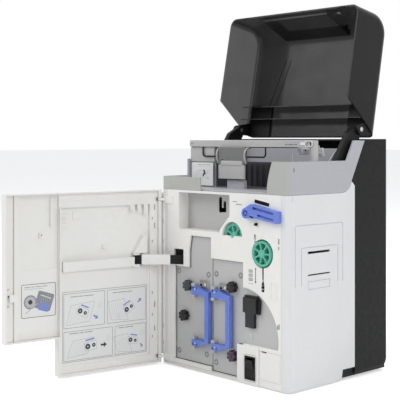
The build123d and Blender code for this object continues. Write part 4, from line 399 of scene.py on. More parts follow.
class PRINTER_OT_studio(bpy.types.Operator):
    """Set up the pale floor, the soft lamps and the camera"""

    bl_idname = "printer.studio"
    bl_label = "Set Up the Studio"

    def execute(self, context):
        scene = context.scene
        sizes = scene.printer_sizes
        scene.view_settings.view_transform = "Standard"
        self.floor(scene, sizes.floor_size / 2)
        self.world(scene)
        for lamp in LAMPS:
            self.lamp(scene, *lamp)
        self.camera(scene, sizes.eye_height)
        return {"FINISHED"}

    def floor(self, scene, half):
        mesh = bpy.data.meshes.new("StudioFloor")
        corners = [(-half, -half, 0.0), (half, -half, 0.0), (half, half, 0.0), (-half, half, 0.0)]
        mesh.from_pydata(corners, [], [(0, 1, 2, 3)])
        mesh.materials.append(self.floor_material(scene.printer_finishes.floor))
        plane = bpy.data.objects.new("StudioFloor", mesh)
        scene.collection.objects.link(plane)

    def floor_material(self, colour):
        """A pale floor that keeps shadows, and shows as near white to the camera, gloss and glass."""
        f = Finish("StudioFloorPale")
        f.surface(f.blended(f.noise(40.0), tinted(colour, 0.995), colour), 0.9, Specular_IOR_Level=0.1)
        glow = f.node("Emission", Color=WHITE, Strength=f.maths("MULTIPLY", f.seen_directly(), FLOOR_GLOW))
        both = f.node("AddShader")
        for socket, light in zip(both.inputs, (f.shader.outputs["BSDF"], glow.outputs["Emission"])):
            f.feed(socket, light)
        f.feed(f.output.inputs["Surface"], both.outputs["Shader"])
        return f.material

    def world(self, scene):
        """Even grey-white room light, shown as white behind the printer."""
        scene.world = scene.world or bpy.data.worlds.new("StudioRoom")
        scene.world.use_nodes = True
        n = Nodes(scene.world.node_tree)
        room = n.node("Background", Color=(0.96, 0.98, 1.0, 1.0), Strength=0.42)
        shown = n.node("Background", Color=WHITE, Strength=1.0)
        mix = n.node("MixShader", Fac=n.seen_directly())
        for socket, light in zip(mix.inputs[1:3], (room, shown)):
            n.feed(socket, light.outputs["Background"])
        n.node("OutputWorld", Surface=mix.outputs["Shader"])

    def lamp(self, scene, name, place, aim, size, watts):
        """A square soft box at place that faces aim."""
        data = bpy.data.lights.new(name, "AREA")
        data.shape = "SQUARE"
        data.size = size
        data.energy = watts
        lamp = bpy.data.objects.new(name, data)
        scene.collection.objects.link(lamp)
        dx, dy, dz = (a - p for a, p in zip(aim, place))
        lamp.location = place
        lamp.rotation_euler = (math.atan2(math.hypot(dx, dy), -dz), 0.0, math.atan2(-dx, dy))

    def camera(self, scene, eye_height):
        """The photograph's camera: level, and to the right of the front."""
        data = bpy.data.cameras.new("StudioCamera")
        data.sensor_width = 36.0
        data.lens = LENS
        data.shift_y = FRAME_SHIFT
        camera = bpy.data.objects.new("StudioCamera", data)
        scene.collection.objects.link(camera)
        camera.location = (*EYE, eye_height)
        camera.rotation_euler = (math.radians(90.0), 0.0, math.radians(BEARING))
        scene.camera = camera


# ---------------------------------------------------------------- surfaces, in millimetres
FRONT = ((1, 0, 0), (0, 0, 1))
BACK = ((-1, 0, 0), (0, 0, 1))
RIGHT_SIDE = ((0, 1, 0), (0, 0, 1))
TOP = ((1, 0, 0), (0, 1, 0))
FASCIA_Y = -132
PLATE_Y = -127
KNOB_Y = -138
HINGE_LINE = (-154.5, -139.5, 0)
STAY_PIN = np.array([-164.7, -187, 194.5])
INK, INK_STEP = 0.04, 0.03  # thickness of an ink layer, and the step to the next one
# Axes of the spools (x, z) and the faces of the wheels (x, y, z).
SPOOLS = {
    "film_supply_spool": (-84.5, 151),
    "film_takeup_spool": (-95, 96),
    "ribbon_supply_spool": (28, 160),
    "ribbon_takeup_spool": (29, 43),
}
WHEELS = {"upper_feed_wheel": (27.5, -127.4, 247.5), "lower_feed_wheel": (99, -134, 223)}


def swing(axis, pivot, degrees):
    """A turn about an axis through a pivot: p' = pivot + R (p - pivot), with R from Rodrigues' formula."""
    x, y, z = axis
    skew = np.array([[0, -z, y], [z, 0, -x], [-y, x, 0]], float)
    angle = math.radians(degrees)
    matrix = np.eye(3) + math.sin(angle) * skew + (1 - math.cos(angle)) * skew @ skew
    centre = np.asarray(pivot, float)
    return lambda points: centre + (points - centre) @ matrix.T


DOOR_OPEN = swing((0, 0, 1), HINGE_LINE, -98)
HOOD_OPEN = swing((1, 0, 0), (0, 60, 430), -101)


def disc(radius, steps=None):
    """A circle of points, counter-clockwise: x = r cos t, y = r sin t."""
    turn = np.arange(steps or bpy.context.scene.printer_sizes.round_steps)
    turn = turn * 2 * math.pi / len(turn)
    return radius * np.stack([np.cos(turn), np.sin(turn)], axis=1)


def pill(width, height, radius=0.3, steps=4):
    """A rounded rectangle: quarter circles x = cx + r cos t, y = cy + r sin t, joined by straight sides."""
    radius = min(radius, width * 0.499, height * 0.499)
    quarter = np.repeat(np.arange(4), steps + 1)
    turn = (quarter + np.tile(np.linspace(0, 1, steps + 1), 4)) * math.pi / 2
    side_x = np.where((quarter == 0) | (quarter == 3), 1, -1) * (width / 2 - radius)
    side_y = np.where(quarter < 2, 1, -1) * (height / 2 - radius)
    return np.stack([side_x + radius * np.cos(turn), side_y + radius * np.sin(turn)], axis=1)


def turned(shape, degrees):
    """An outline turned in its plane: x' = x cos a - y sin a, y' = x sin a + y cos a."""
    c, s = math.cos(math.radians(degrees)), math.sin(math.radians(degrees))
    return np.asarray(shape, float) @ np.array([[c, s], [-s, c]])


def shrunk(shape, distance):
    """A closed outline moved inwards along the mean of its sides' normals, lengthened at the corners."""
    ahead = np.roll(shape, -1, axis=0) - shape
    ahead = ahead / np.linalg.norm(ahead, axis=1, keepdims=True)
    normal = np.stack([-ahead[:, 1], ahead[:, 0]], axis=1)
    earlier = np.roll(normal, 1, axis=0)
    return shape + distance * (normal + earlier) / (1 + (normal * earlier).sum(axis=1, keepdims=True))


def closed(rows, ends=True):
    """Vertices and faces of rows of points: each row runs round and joins the next; the ends are filled."""
    count, steps = rows.shape[:2]
    here = np.arange(count * steps).reshape(count, steps)
    after = np.roll(here, -1, axis=1)
    if ends:
        corners = [here[:-1], after[:-1], after[1:], here[1:]]
        caps = [here[0][::-1].tolist(), here[-1].tolist()]
    else:
        corners = [here, after, np.roll(after, -1, axis=0), np.roll(here, -1, axis=0)]
        caps = []
    return rows.reshape(-1, 3), np.stack(corners, axis=-1).reshape(-1, 4).tolist() + caps


def stack(shape, levels, ends=True):
    """A moulding over an outline: at each level the outline is shrunk by an inset and lifted."""
    shape = np.asarray(shape, float)
    tall = np.ones(len(shape))
    rows = [np.column_stack([shrunk(shape, inset), tall * height]) for inset, height in levels]
    return closed(np.stack(rows), ends)


def plate(shape, height, edge=0):
    """A flat moulding with a quarter-round edge of the given radius."""
    if not edge:
        return stack(shape, [(0, 0), (0, height)])
    turn = np.linspace(0, math.pi / 2, 4)
    rounding = np.column_stack([edge * (1 - np.cos(turn)), height - edge + edge * np.sin(turn)])
    return stack(shape, [(0, 0), *rounding.tolist()])


def pad(width, height, radius, thick, edge=0, tilt=0):
    """A rounded rectangle, turned in its plane and made a flat moulding."""
    return plate(turned(pill(width, height, radius), tilt), thick, edge)


def hoop(shape, width, height):
    """A flat band inside an outline: out, up, in and down again, closed on itself."""
    return stack(shape, [(0, 0), (0, height), (width, height), (width, 0)], ends=False)


def carried(section, path, side=None):
    """A section carried along a path: p(i, j) = path(i) + u(j) side(i) + v(j) lift(i)."""
    path = np.asarray(path, float)
    along = np.gradient(path, axis=0)
    along = along / np.linalg.norm(along, axis=1, keepdims=True)
    if side is None:
        spare = np.eye(3)[np.argmin(np.abs(along).mean(axis=0))]
        side = np.cross(along, spare)
        side = side / np.linalg.norm(side, axis=1, keepdims=True)
    else:
        side = np.broadcast_to(np.asarray(side, float), path.shape)
    lift = np.cross(along, side)
    u, v = section.T[:, None, :, None]
    return closed(path[:, None] + u * side[:, None] + v * lift[:, None])


def bend(points, steps=24):
    """A smooth path led by a few points: their Bernstein curve, sum of C(n, k) t^k (1 - t)^(n - k) p(k)."""
    points = np.asarray(points, float)
    degree = len(points) - 1
    t = np.linspace(0, 1, steps)[:, None]
    k = np.arange(degree + 1)[None]
    choose = np.array([math.comb(degree, i) for i in range(degree + 1)])[None]
    return (choose * t**k * (1 - t) ** (degree - k)) @ points


class Piece:
    """Shapes in millimetres, each with its place and finish, gathered into one mesh on a body."""

    def __init__(self, name, ground=TOP, opening=None):
        self.name, self.ground, self.opening = name, ground, opening
        self.points, self.faces, self.marks, self.finishes, self.total = [], [], [], [], 0

    def put(self, part, finish, origin=(0, 0, 0), ground=None):
        points, faces = part
        right, up = ground or self.ground
        basis = np.array([right, up, np.cross(right, up)], float)
        if finish not in self.finishes:
            self.finishes.append(finish)
        self.points.append(np.asarray(origin, float) + points @ basis)
        self.faces += [[corner + self.total for corner in face] for face in faces]
        self.marks += [self.finishes.index(finish)] * len(faces)
        self.total += len(points)
        return self

    def make(self, body, slot):
        points = np.concatenate(self.points)
        if self.opening:
            points = self.opening(points)
        mesh = bpy.data.meshes.new(self.name)
        mesh.from_pydata((points * MM).tolist(), [], self.faces)
        for finish in self.finishes:
            mesh.materials.append(FINISH[finish])
        mesh.polygons.foreach_set("material_index", self.marks)
        mesh.shade_smooth()
        mesh.set_sharp_from_angle(angle=math.radians(35))
        piece = bpy.data.objects.new(self.name, mesh)
        bpy.context.scene.collection.objects.link(piece)
        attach(piece, body)
        return piece


class Sheet(Piece):
    """A printed label: its paper, then ink laid a hair above it, placed from its lower left corner."""

    def __init__(self, name, ground, corner, width, height, opening=None, paper="label_paper"):
        super().__init__(name, ground, opening)
        self.corner = np.asarray(corner, float)
        self.thickness = bpy.context.scene.printer_sizes.label_thickness / MM
        self.put(pad(width, height, 1.5, self.thickness), paper, self.at(width / 2, height / 2))

    def at(self, x, y, lift=0):
        right, up = np.asarray(self.ground, float)
        return self.corner + x * right + y * up + lift * np.cross(right, up)

    def ink(self, shape, x, y, finish="ink_black", layer=0):
        return self.put(plate(shape, INK), finish, self.at(x, y, self.thickness + INK_STEP * layer))

    def frame(self, x, y, width, height, line=0.5, finish="ink_black", radius=1):
        return self.outline(pill(width, height, radius), x, y, line, finish)

    def outline(self, shape, x, y, line, finish):
        return self.put(hoop(shape, line, INK), finish, self.at(x, y, self.thickness))

    def line(self, start, end, width=0.45, finish="ink_black", layer=0):
        (x0, y0), (x1, y1) = start, end
        lean = math.degrees(math.atan2(y1 - y0, x1 - x0))
        stroke = pill(math.hypot(x1 - x0, y1 - y0), width, width / 2, 2)
        return self.ink(turned(stroke, lean), (x0 + x1) / 2, (y0 + y1) / 2, finish, layer)

    def dashes(self, x, y, lengths, height=1.2, finish="grey_ink_and_slot_shade"):
        """A row of plain dashes that stands where a caption would."""
        for length in lengths:
            self.ink(pill(length, height, 0.3), x + length / 2, y, finish)
            x += length + 1.4
        return self

    def arrow(self, x, y, size, degrees, finish="ink_black"):
        shape = [(-1, -0.28), (0.1, -0.28), (0.1, -0.8), (1, 0), (0.1, 0.8), (0.1, 0.28), (-1, 0.28)]
        return self.ink(turned(np.array(shape) * size, degrees), x, y, finish, 2)

    def cartridge(self, x, y, size, tilt, handle="ink_blue"):
        """A generic cassette: two rolls in a tilted frame with a handle bar."""
        for inset, tone in ((0, "ink_pale"), (0.12, "label_paper")):
            shape = turned(pill((2 - inset) * size, (1.3 - inset) * size, 0.2 * size), tilt)
            self.ink(shape, x, y, tone, 0 if tone == "ink_pale" else 0.4)
        for offset, radius in ((-0.5, 0.42), (0.5, 0.3)):
            dx, dy = turned([(offset * size, 0)], tilt)[0]
            self.ink(disc(radius * size, 18), x + dx, y + dy, "ink_black", 1)
            self.ink(disc(radius * size * 0.35, 12), x + dx, y + dy, "ink_pale", 2)
        dx, dy = turned([(0, 0.95 * size)], tilt)[0]
        return self.ink(turned(pill(1.5 * size, 0.22 * size, 0.1 * size), tilt), x + dx, y + dy, handle, 1)

    def sketch(self, x, y, width, height, tilt, count=7):
        """A generic machine drawn in thin lines: a box seen at an angle with ruled shading."""
        lean = height * math.tan(math.radians(tilt))
        right, top = x + width, y + height
        corners = [(x, y), (right, y + lean * 0.4), (right + lean, top), (x + lean, y + height * 0.9)]
        for start, end in zip(corners, corners[1:] + corners[:1]):
            self.line(start, end, 0.4, "grey_ink_and_slot_shade")
        for foot in x + width * np.linspace(0.15, 0.85, count):
            self.line((foot, y + 2), (foot + lean * 0.8, y + height * 0.82), 0.3, "ink_pale")
        return self


# ---------------------------------------------------------------- pieces
class PRINTER_OT_door_labels(bpy.types.Operator):
    """Make the two loading guides inside the door"""

    bl_idname = "printer.door_labels"
    bl_label = "Door Labels"

    def execute(self, context):
        wide = Sheet("door_guide_wide", BACK, (41.5, -145, 24), 172, 124, DOOR_OPEN)
        wide.frame(86, 62, 171, 123, 0.7, "grey_ink_and_slot_shade", 1.5)
        for panel, caption in (
            ((43.5, 90, 81, 60), (16, 114, (14, 9, 20))),
            ((129, 90, 80, 60), (100, 114, (9, 18, 11))),
            ((51.5, 28.5, 97, 51), (14, 50, (19, 8, 16))),
            ((137, 28.5, 64, 51), (112, 50, (12, 17))),
        ):
            wide.frame(*panel).dashes(*caption)
        for machine, cassette, arrow in (
            ((8, 65, 46, 38, 14), (40, 86, 11, -24), (66, 75, 5.5, -35, "ink_blue")),
            ((98, 66, 34, 36, -12), (134, 84, 11, 28), (156, 96, 5, 40, "ink_blue")),
            ((10, 8, 40, 32, 18, 9), (56, 25, 12, 8), (82, 24, 6, 0)),
            ((110, 8, 30, 30, -16), (142, 25, 10, -12), (160, 14, 4, -60, "ink_blue")),
        ):
            wide.sketch(*machine).cartridge(*cassette).arrow(*arrow)
        for x, top in ((70, 98), (108, 74), (86, 38), (158, 40)):
            for y in top - 2.6 * np.arange(4):
                wide.line((x, y), (x + 9, y + 1.5), 0.35, "ink_pale")
        wide.make("door", "cream")

        small = Sheet("door_guide_small", BACK, (117.5, -146.5, 109), 65, 58, DOOR_OPEN)
        small.frame(32.5, 29, 64, 57, 0.8, "ink_black", 3)
        small.dashes(6, 52.5, (11, 6, 13, 8), 1, "grey_ink_and_slot_shade").dashes(6, 49, (8, 15, 10), 1, "ink_pale")
        small.ink(turned(pill(31, 30, 3), -18), 43, 27, "grey_ink_and_slot_shade")
        small.ink(disc(12, 28), 17, 27, "grey_ink_and_slot_shade", 0.5).ink(disc(9.6, 28), 17, 27, "ink_pale", 1)
        small.ink(disc(4, 20), 17, 27, "ink_black", 2)
        small.ink(turned(pill(20, 14, 2), -18), 42, 17, "ink_blue", 1)
        small.line((8, 8), (30, 24), 1.6, "ink_pale", 2).line((36, 38), (56, 30), 1.4, "label_paper", 2)
        for step in range(5):
            small.line((36 + 4 * step, 24), (39 + 4 * step, 38), 0.4, "ink_pale", 2)
        small.make("door", "cream")
        return {"FINISHED"}


class PRINTER_OT_door_fittings(bpy.types.Operator):
    """Make the catch parts, clips and cover strips of the door"""

    bl_idname = "printer.door_fittings"
    bl_label = "Door Fittings"

    def execute(self, context):
        catch = Piece("door_catch_parts", BACK, DOOR_OPEN)
        catch.put(pad(7, 22, 1.5, 1.2, 0.5), "cream", (142, -143, 147))
        catch.put(pad(3, 9, 1, 2.2, 0.6), "pale_white", (143, -142.2, 147))
        catch.put(pad(2, 3, 0.6, 0.3), "gap_dark", (143, -140, 150))
        for height in (133, 161):
            catch.put(plate(disc(2.2), 1, 0.4), "screw_steel", (142, -143, height))
        catch.make("door", "cream")

        marks = Piece("door_mould_marks", BACK, DOOR_OPEN)
        for x, z in ((60, 300), (90, 300), (112, 226), (60, 210)):
            marks.put(hoop(disc(2.6, 24), 0.5, 0.35), "cream", (x, -148, z))
        for x, z in ((-20, 232), (20, 210), (-62, 268)):
            marks.put(plate(disc(2, 24), 0.4, 0.2), "cream", (x, -148, z))
        for z in (52, 92, 132, 226, 268):
            marks.put(pad(3.6, 9, 0.8, 0.5, 0.2), "pale_white", (-140, -142, z))
            marks.put(pad(1.4, 5, 0.5, 0.2), "grey_ink_and_slot_shade", (-140, -141.5, z))
        for x in (-118, -92, 8, 34):
            marks.put(pad(11, 1.2, 0.5, 0.5, 0.2), "cream", (x, -142, 305))
        marks.make("door", "cream")

        reach = np.linspace(10.5, 62, 12)[:, None]
        heading = math.radians(BEARING)
        path = STAY_PIN + reach * np.array([math.cos(heading), math.sin(heading), 0])
        end = path[-2:] + (path[-1] - path[-2]) * 0.02
        sleeve = Piece("door_stay_sleeve")
        sleeve.put(carried(pill(18.2, 5.8, 1.2), path, (0, 0, 1)), "cream")
        sleeve.put(carried(pill(15, 6.4, 0.8), end, (0, 0, 1)), "pale_white")
        sleeve.make("stay", "cream")

        strip = Piece("hinge_cover_strip", FRONT)
        strip.put(pad(9, 296, 1.5, 2.1, 0.8), "cream", (-153.2, FASCIA_Y, 166))
        for z in (40, 70, 225, 262, 300):
            strip.put(pad(1, 8, 0.4, 0.1), "grey_ink_and_slot_shade", (-150.6, FASCIA_Y - 2.06, z))
        strip.make("base", "cream")
        return {"FINISHED"}


class PRINTER_OT_fascia_marks(bpy.types.Operator):
    """Make the pictograms, slots and small fittings of the fascia"""

    bl_idname = "printer.fascia_marks"
    bl_label = "Fascia Marks"

    def execute(self, context):
        strip = Piece("lever_position_strip", FRONT)
        right = [(2.6, -20), (3.4, -12), (1.2, 0), (1.4, 20)]
        shape = np.array(right + [(-x, z) for x, z in right[::-1]])
        strip.put(plate(shape, 0.35, 0.15), "gap_dark", (100.4, FASCIA_Y, 180))
        strip.put(plate(disc(1.1, 16), 0.15), "label_paper", (100.4, FASCIA_Y - 0.35, 164.5))
        strip.put(plate(disc(0.8, 16), 0.15), "label_paper", (100.4, FASCIA_Y - 0.35, 170.5))
        strip.put(pad(1.2, 5, 0.5, 0.15), "label_paper", (100.4, FASCIA_Y - 0.35, 178))
        strip.make("base", "cream")

        icon = Sheet("roll_pictogram", FRONT, (65, FASCIA_Y, 166), 22, 36, None, "cream")
        for height in (26, 19, 12):
            icon.ink(pill(10, 5.4, 2.4), 7, height, "ink_pale")
            icon.frame(7, height, 10, 5.4, 0.5, "grey_ink_and_slot_shade", 2.4)
        icon.ink(pill(1.4, 20, 0.6), 18.4, 18).arrow(18.4, 30, 2.6, 90).ink(disc(1.6, 14), 18.4, 8.5)
        icon.dashes(2, 5, (4, 5), 0.9, "grey_ink_and_slot_shade")
        icon.make("base", "cream")

        slots = Piece("fascia_slots", FRONT)
        # Painted shade: each slot is a raised rim round a flat grey pad, and the long tilted slot a black
        # pad, standing in for the shade inside the openings.
        for x, z, width, height in ((82, 250.6, 4.2, 7), (82.6, 241.5, 3.4, 5), (135.9, 246, 3, 9),
                                    (135.6, 235, 2.4, 6), (133.6, 106, 3.2, 7)):
            slots.put(hoop(pill(width + 1.2, height + 1.2, 1), 0.6, 0.3), "cream", (x, FASCIA_Y, z))
            slots.put(pad(width, height, 0.6, 0.12), "grey_ink_and_slot_shade", (x, FASCIA_Y, z))
        slots.put(pad(34, 6, 1.5, 0.15, tilt=-9), "gap_dark", (98, FASCIA_Y, 307))
        slots.put(hoop(turned(pill(37, 9, 2.5), -9), 1.4, 0.5), "cream", (98, FASCIA_Y, 307))
        slots.put(plate(disc(2.4), 4.5, 0.6), "gap_dark", (86, FASCIA_Y, 271))
        slots.put(pad(10, 1.2, 0.5, 0.3, 0.1), "grey_ink_and_slot_shade", (34, FASCIA_Y, 306.5))
        slots.put(pad(14, 1.4, 0.5, 0.3, 0.1), "grey_ink_and_slot_shade", (44, FASCIA_Y, 302))
        slots.make("base", "cream")

        rim = Piece("fascia_foot_bead", FRONT)
        rim.put(pad(176, 1.4, 0.6, 0.6, 0.3), "cream", (-50, FASCIA_Y, 6))
        rim.put(pad(176, 0.7, 0.3, 0.25), "ink_pale", (-50, FASCIA_Y, 7.6))
        rim.make("base", "cream")

        hook = Piece("sector_hook", FRONT)
        ring = [(0, 0), (-2.4, 1), (-2.6, 4.6), (0, 6), (2.6, 4.6), (2.4, 1.2), (0.4, 0.2), (0.2, -4)]
        wire = bend([(x, y, 0) for x, y in ring], 30)
        hook.put(carried(disc(0.7, 8), wire), "pale_white", (70.9, -128.9, 81.5))
        hook.make("base", "plate_grey")

        seal = Piece("switch_surround_lines", FRONT)
        seal.put(hoop(pill(28.5, 45.5, 3.5), 0.7, 0.25), "ink_pale", (73, -134.5, 30))
        seal.make("base", "cream")
        return {"FINISHED"}


class PRINTER_OT_cassette_details(bpy.types.Operator):
    """Make the moulding dimples, blocks and films of the two cassettes"""

    bl_idname = "printer.cassette_details"
    bl_label = "Cassette Details"

    def execute(self, context):
        self.dimples("film_cassette", ((-114, 174), (-113.5, 30), (-41, 33.5), (-36, 174.5)))
        self.dimples("ribbon_cassette", ((-16, 178), (43.5, 181), (-16.5, 24)))
        for body, left in (("film_cassette", -53.4), ("ribbon_cassette", -2.9)):
            block = Piece(body + "_stop", FRONT)
            block.put(pad(18.4, 12.3, 1.2, 0.7, 0.3), "block_grey", (left + 8.9, -132, 158.8))
            block.put(pad(5, 4, 0.8, 0.4, 0.15), "gap_dark", (left + 4, -132.6, 155.5))
            block.put(pad(3, 5, 0.6, 0.5, 0.15), "pale_white", (left + 14, -132.6, 157))
            block.make(body, "plate_grey")
        self.web("film", 20, 16)
        self.web("ribbon", 18, 8)
        return {"FINISHED"}

    def dimples(self, body, spots):
        """Shallow round marks of the mould's pins: a low bead round a darker flat disc, whose darkness is
        painted shade for the sunk mark.
        """
        piece = Piece(body + "_dimples", FRONT)
        for x, z in spots:
            piece.put(hoop(disc(6.2), 0.8, 0.25), "plate_grey", (x, PLATE_Y, z))
            # Painted shade: the dark disc stands in for the shade inside the sunk mark.
            piece.put(plate(disc(5.2), 0.12, 0.05), "block_grey", (x, PLATE_Y, z))
            piece.put(plate(disc(2.2), 0.4, 0.2), "plate_grey", (x, PLATE_Y - 0.1, z))
        piece.make(body, "plate_grey")

    def web(self, name, r0, r1):
        """The film between two rolls: a flat band on a line that touches both rolls."""
        x0, z0 = SPOOLS[name + "_supply_spool"]
        x1, z1 = SPOOLS[name + "_takeup_spool"]
        reach = math.hypot(x1 - x0, z1 - z0)
        lean = math.atan2(z1 - z0, x1 - x0) + math.acos((r0 - r1) / reach)
        edge = np.array([math.cos(lean), math.sin(lean)])
        start, end = np.array([x0, z0]) + (r0 + 0.2) * edge, np.array([x1, z1]) + (r1 + 0.2) * edge
        flat = start + np.linspace(0, 1, 9)[:, None] * (end - start)
        path = np.column_stack([flat[:, 0], np.full(9, -65), flat[:, 1]])
        piece = Piece(name + "_web")
        piece.put(carried(pill(86, 0.16, 0.05, 1), path, (0, 1, 0)), "roll_dark")
        piece.make(name + "_cassette", "roll_dark")


class PRINTER_OT_knob_details(bpy.types.Operator):
    """Make the hub caps of the four finger knobs and the two wheels"""

    bl_idname = "printer.knob_details"
    bl_label = "Knob Details"

    def execute(self, context):
        seventh = 360 / 7
        dome = [(0, 0), (0, 0.5), (0.3, 0.9), (1.2, 1.1), (1.9, 0.7), (2.6, 0.5)]
        finishes = ("knob_grey", "knob_black", "knob_black", "purple")
        for (body, (x, z)), finish in zip(SPOOLS.items(), finishes):
            cap = Piece(body + "_cap", FRONT)
            cap.put(stack(disc(4.3), dome), finish, (x, KNOB_Y, z))
            for turn in range(7):
                dx, dz = turned([(7.6, 0)], seventh * turn)[0]
                bead = pad(2.6, 1.3, 0.5, 0.3, 0.12, tilt=seventh * turn)
                cap.put(bead, finish, (x + dx, KNOB_Y, z + dz))
            cap.make(body, finish)
        step = [(0, 0), (0, 0.6), (0.5, 1), (1.6, 1), (2.1, 0.4), (3.3, 0.4)]
        for body, (x, face, z) in WHEELS.items():
            hub = Piece(body + "_hub", FRONT)
            hub.put(stack(disc(5.4), step), "teal", (x, face, z))
            hub.put(hoop(disc(20.4), 1, 0.35), "teal", (x, face, z))
            for turn in range(7):
                dx, dz = turned([(11.4, 0)], seventh * turn)[0]
                hub.put(pad(11, 1.1, 0.4, 0.35, 0.15, tilt=seventh * turn), "teal", (x + dx, face, z + dz))
            hub.make(body, "teal")
        return {"FINISHED"}


class PRINTER_OT_handle_details(bpy.types.Operator):
    """Make the pivot ends and edge beads of the two blue handles and the blue lever"""

    bl_idname = "printer.handle_details"
    bl_label = "Handle Details"

    def execute(self, context):
        for body, pivot, grip in (("film_handle", -68, -30.5), ("ribbon_handle", -17.5, 22.5)):
            ends = Piece(body + "_ends", FRONT)
            for z, way in ((50, -1), (148.5, 1)):
                ends.put(pad(12, 4.6, 1, 0.5, 0.2), "blue", (pivot + 5, -135.4, z))
                ends.put(plate(disc(1.5, 16), 1, 0.3), "gap_dark", (pivot + 1, -135.6, z + way * 0.4))
                ends.put(pad(3.4, 1.8, 0.6, 0.8, 0.3), "pale_white", (pivot + 5.6, -135.6, z - way * 1.2))
                ends.put(pad(2.2, 2.6, 0.6, 0.8, 0.3), "gap_dark", (pivot + 10, -135.6, z + way * 0.8))
            ends.put(pad(0.9, 84, 0.4, 0.4, 0.15), "blue", (grip, -138.5, 100.5))
            ends.make(body, "blue")

        lever = Piece("locking_lever_parts", FRONT)
        lever.put(hoop(disc(6.4), 1.2, 0.6), "blue", (68, -141, 289))
        lever.put(plate(disc(2.3), 1.2, 0.5), "screw_steel", (68, -138, 289))
        lever.put(pad(58, 1.1, 0.5, 0.7, 0.3, tilt=-9), "blue", (107, -141, 292.5))
        lever.put(pad(46, 1.1, 0.5, 0.6, 0.25, tilt=-9), "blue", (112, -141, 280.2))
        lever.put(pad(9, 2.6, 1, 0.4, 0.15, tilt=-9), "pale_white", (82, -140.6, 283.4))
        lever.make("locking_lever", "blue")
        return {"FINISHED"}


class PRINTER_OT_upper_unit(bpy.types.Operator):
    """Make the labels, guides and arms round the card hopper"""

    bl_idname = "printer.upper_unit"
    bl_label = "Upper Unit"

    def execute(self, context):
        sheet = Sheet("hopper_guide_label", FRONT, (-152.5, -62, 326.5), 59.5, 43)
        sheet.frame(29.75, 21.5, 58.5, 42, 0.4, "ink_pale", 1)
        sheet.dashes(18, 38.5, (12, 8, 11), 1, "grey_ink_and_slot_shade").line((4, 35.5), (54, 35.5), 0.4, "ink_pale")
        sheet.sketch(6, 5, 22, 24, 20, 5)
        cards = ((4.2, 9, 24, 36, 25), (3.4, 7, -30, 33.5, 20), (3.2, 9, 12, 24.5, 8.5))
        for width, height, tilt, x, y in cards:
            sheet.ink(turned(pill(width, height, 1.2), tilt), x, y, "ink_black", 1)
        sheet.line((38, 12), (46, 29), 0.5, "grey_ink_and_slot_shade")
        sheet.arrow(45, 14, 3, 120, "ink_pale").outline(disc(4, 20), 46.5, 25.5, 0.4, "ink_pale")
        sheet.make("base", "hopper_grey")

        bar = Sheet("crossbar_label", FRONT, (86.5, -66, 401.2), 50, 8, None, "ink_pale")
        bar.frame(25, 4, 49, 7.2, 0.4, "grey_ink_and_slot_shade", 0.6)
        bar.dashes(3, 5.4, (8, 5, 10, 6), 1, "grey_ink_and_slot_shade").dashes(3, 2.6, (6, 12, 7), 1.2, "ink_black")
        bar.ink(pill(9, 4.6, 0.8), 42, 4, "label_paper", 1)
        bar.make("base", "hopper_grey")

        icon = Sheet("crossbar_icon", FRONT, (-151, -66, 401.6), 9, 7.2, None, "ink_pale")
        icon.ink(pill(6, 3.4, 0.5), 4.5, 3.4).ink(pill(4.4, 1.2, 0.3), 4.5, 3.8, "label_paper", 1)
        icon.make("base", "hopper_grey")

        guide = Piece("clear_card_guide", FRONT)
        guide.put(pad(17, 10.4, 4.6, 1.6, 0.6), "clear", (143, -66, 405))
        guide.put(hoop(pill(17, 10.4, 4.6), 1, 2), "pale_white", (143, -66, 405))
        guide.put(pad(1.2, 7, 0.5, 1.2, 0.3), "gap_dark", (148.6, -67.6, 405))
        guide.put(pad(42, 11, 2, 5, 1), "clear", (124, -30, 392.5))
        guide.put(pad(20, 6, 2, 6, 1), "clear", (132, -24, 386))
        rod = [(104, -40, 396.8), (118, -39, 396.6), (136, -40, 396.8)]
        guide.put(carried(disc(1.3, 10), rod), "pale_white", ground=TOP)
        for x, z in ((110, 393), (121, 390), (134, 394)):
            guide.put(plate(disc(1.7, 16), 0.8, 0.3), "gap_dark", (x, -35.2, z))
            guide.put(hoop(disc(2.6, 20), 0.7, 1), "pale_white", (x, -35.2, z))
        for x in (107, 134):
            guide.put(pad(4, 16, 1, 22, 0.5), "clear", (x, -30.5, 394))
        guide.make("base", "hopper_grey")

        strut = Piece("hinge_bracket_flange")
        path = [(139, -16, 325), (139, 4, 362), (139, 24, 405)]
        strut.put(carried(pill(2.4, 2.2, 0.6), bend(path, 12), (1, 0, 0)), "pale_white")
        strut.make("base", "black_plastic")

        arms = Piece("flap_bracket_arms")
        outline = [(-64.6, 396.5), (-75, 397.5), (-80.5, 388), (-76, 374.5), (-72, 369.5)]
        for x in (-68.4, 2.4):
            path = bend([(x, y, z) for y, z in outline], 22)
            arms.put(carried(pill(2.2, 3.6, 0.8), path, (1, 0, 0)), "hopper_grey")
            arms.put(carried(pill(2.5, 1, 0.4), path + np.array([0, 1.9, -0.4]), (1, 0, 0)), "gap_dark")
        arms.make("base", "hopper_grey")

        flap = Piece("hopper_flap_bead", FRONT)
        flap.put(hoop(pill(62, 26, 3), 1, 0.35), "hopper_grey", (-33, -74.4, 354.8))
        flap.put(pad(52, 1, 0.4, 0.3, 0.1), "grey_ink_and_slot_shade", (-33, -74.4, 365.4))
        flap.make("hopper_flap", "hopper_grey")

        ribs = Piece("hopper_card_ribs", FRONT)
        for x in (12, 40, 47, 76, 83):
            ribs.put(pad(1.6, 44, 0.6, 2.4, 0.6), "dark_grey", (x, -14.6, 347))
        ribs.make("base", "dark_grey")
        return {"FINISHED"}


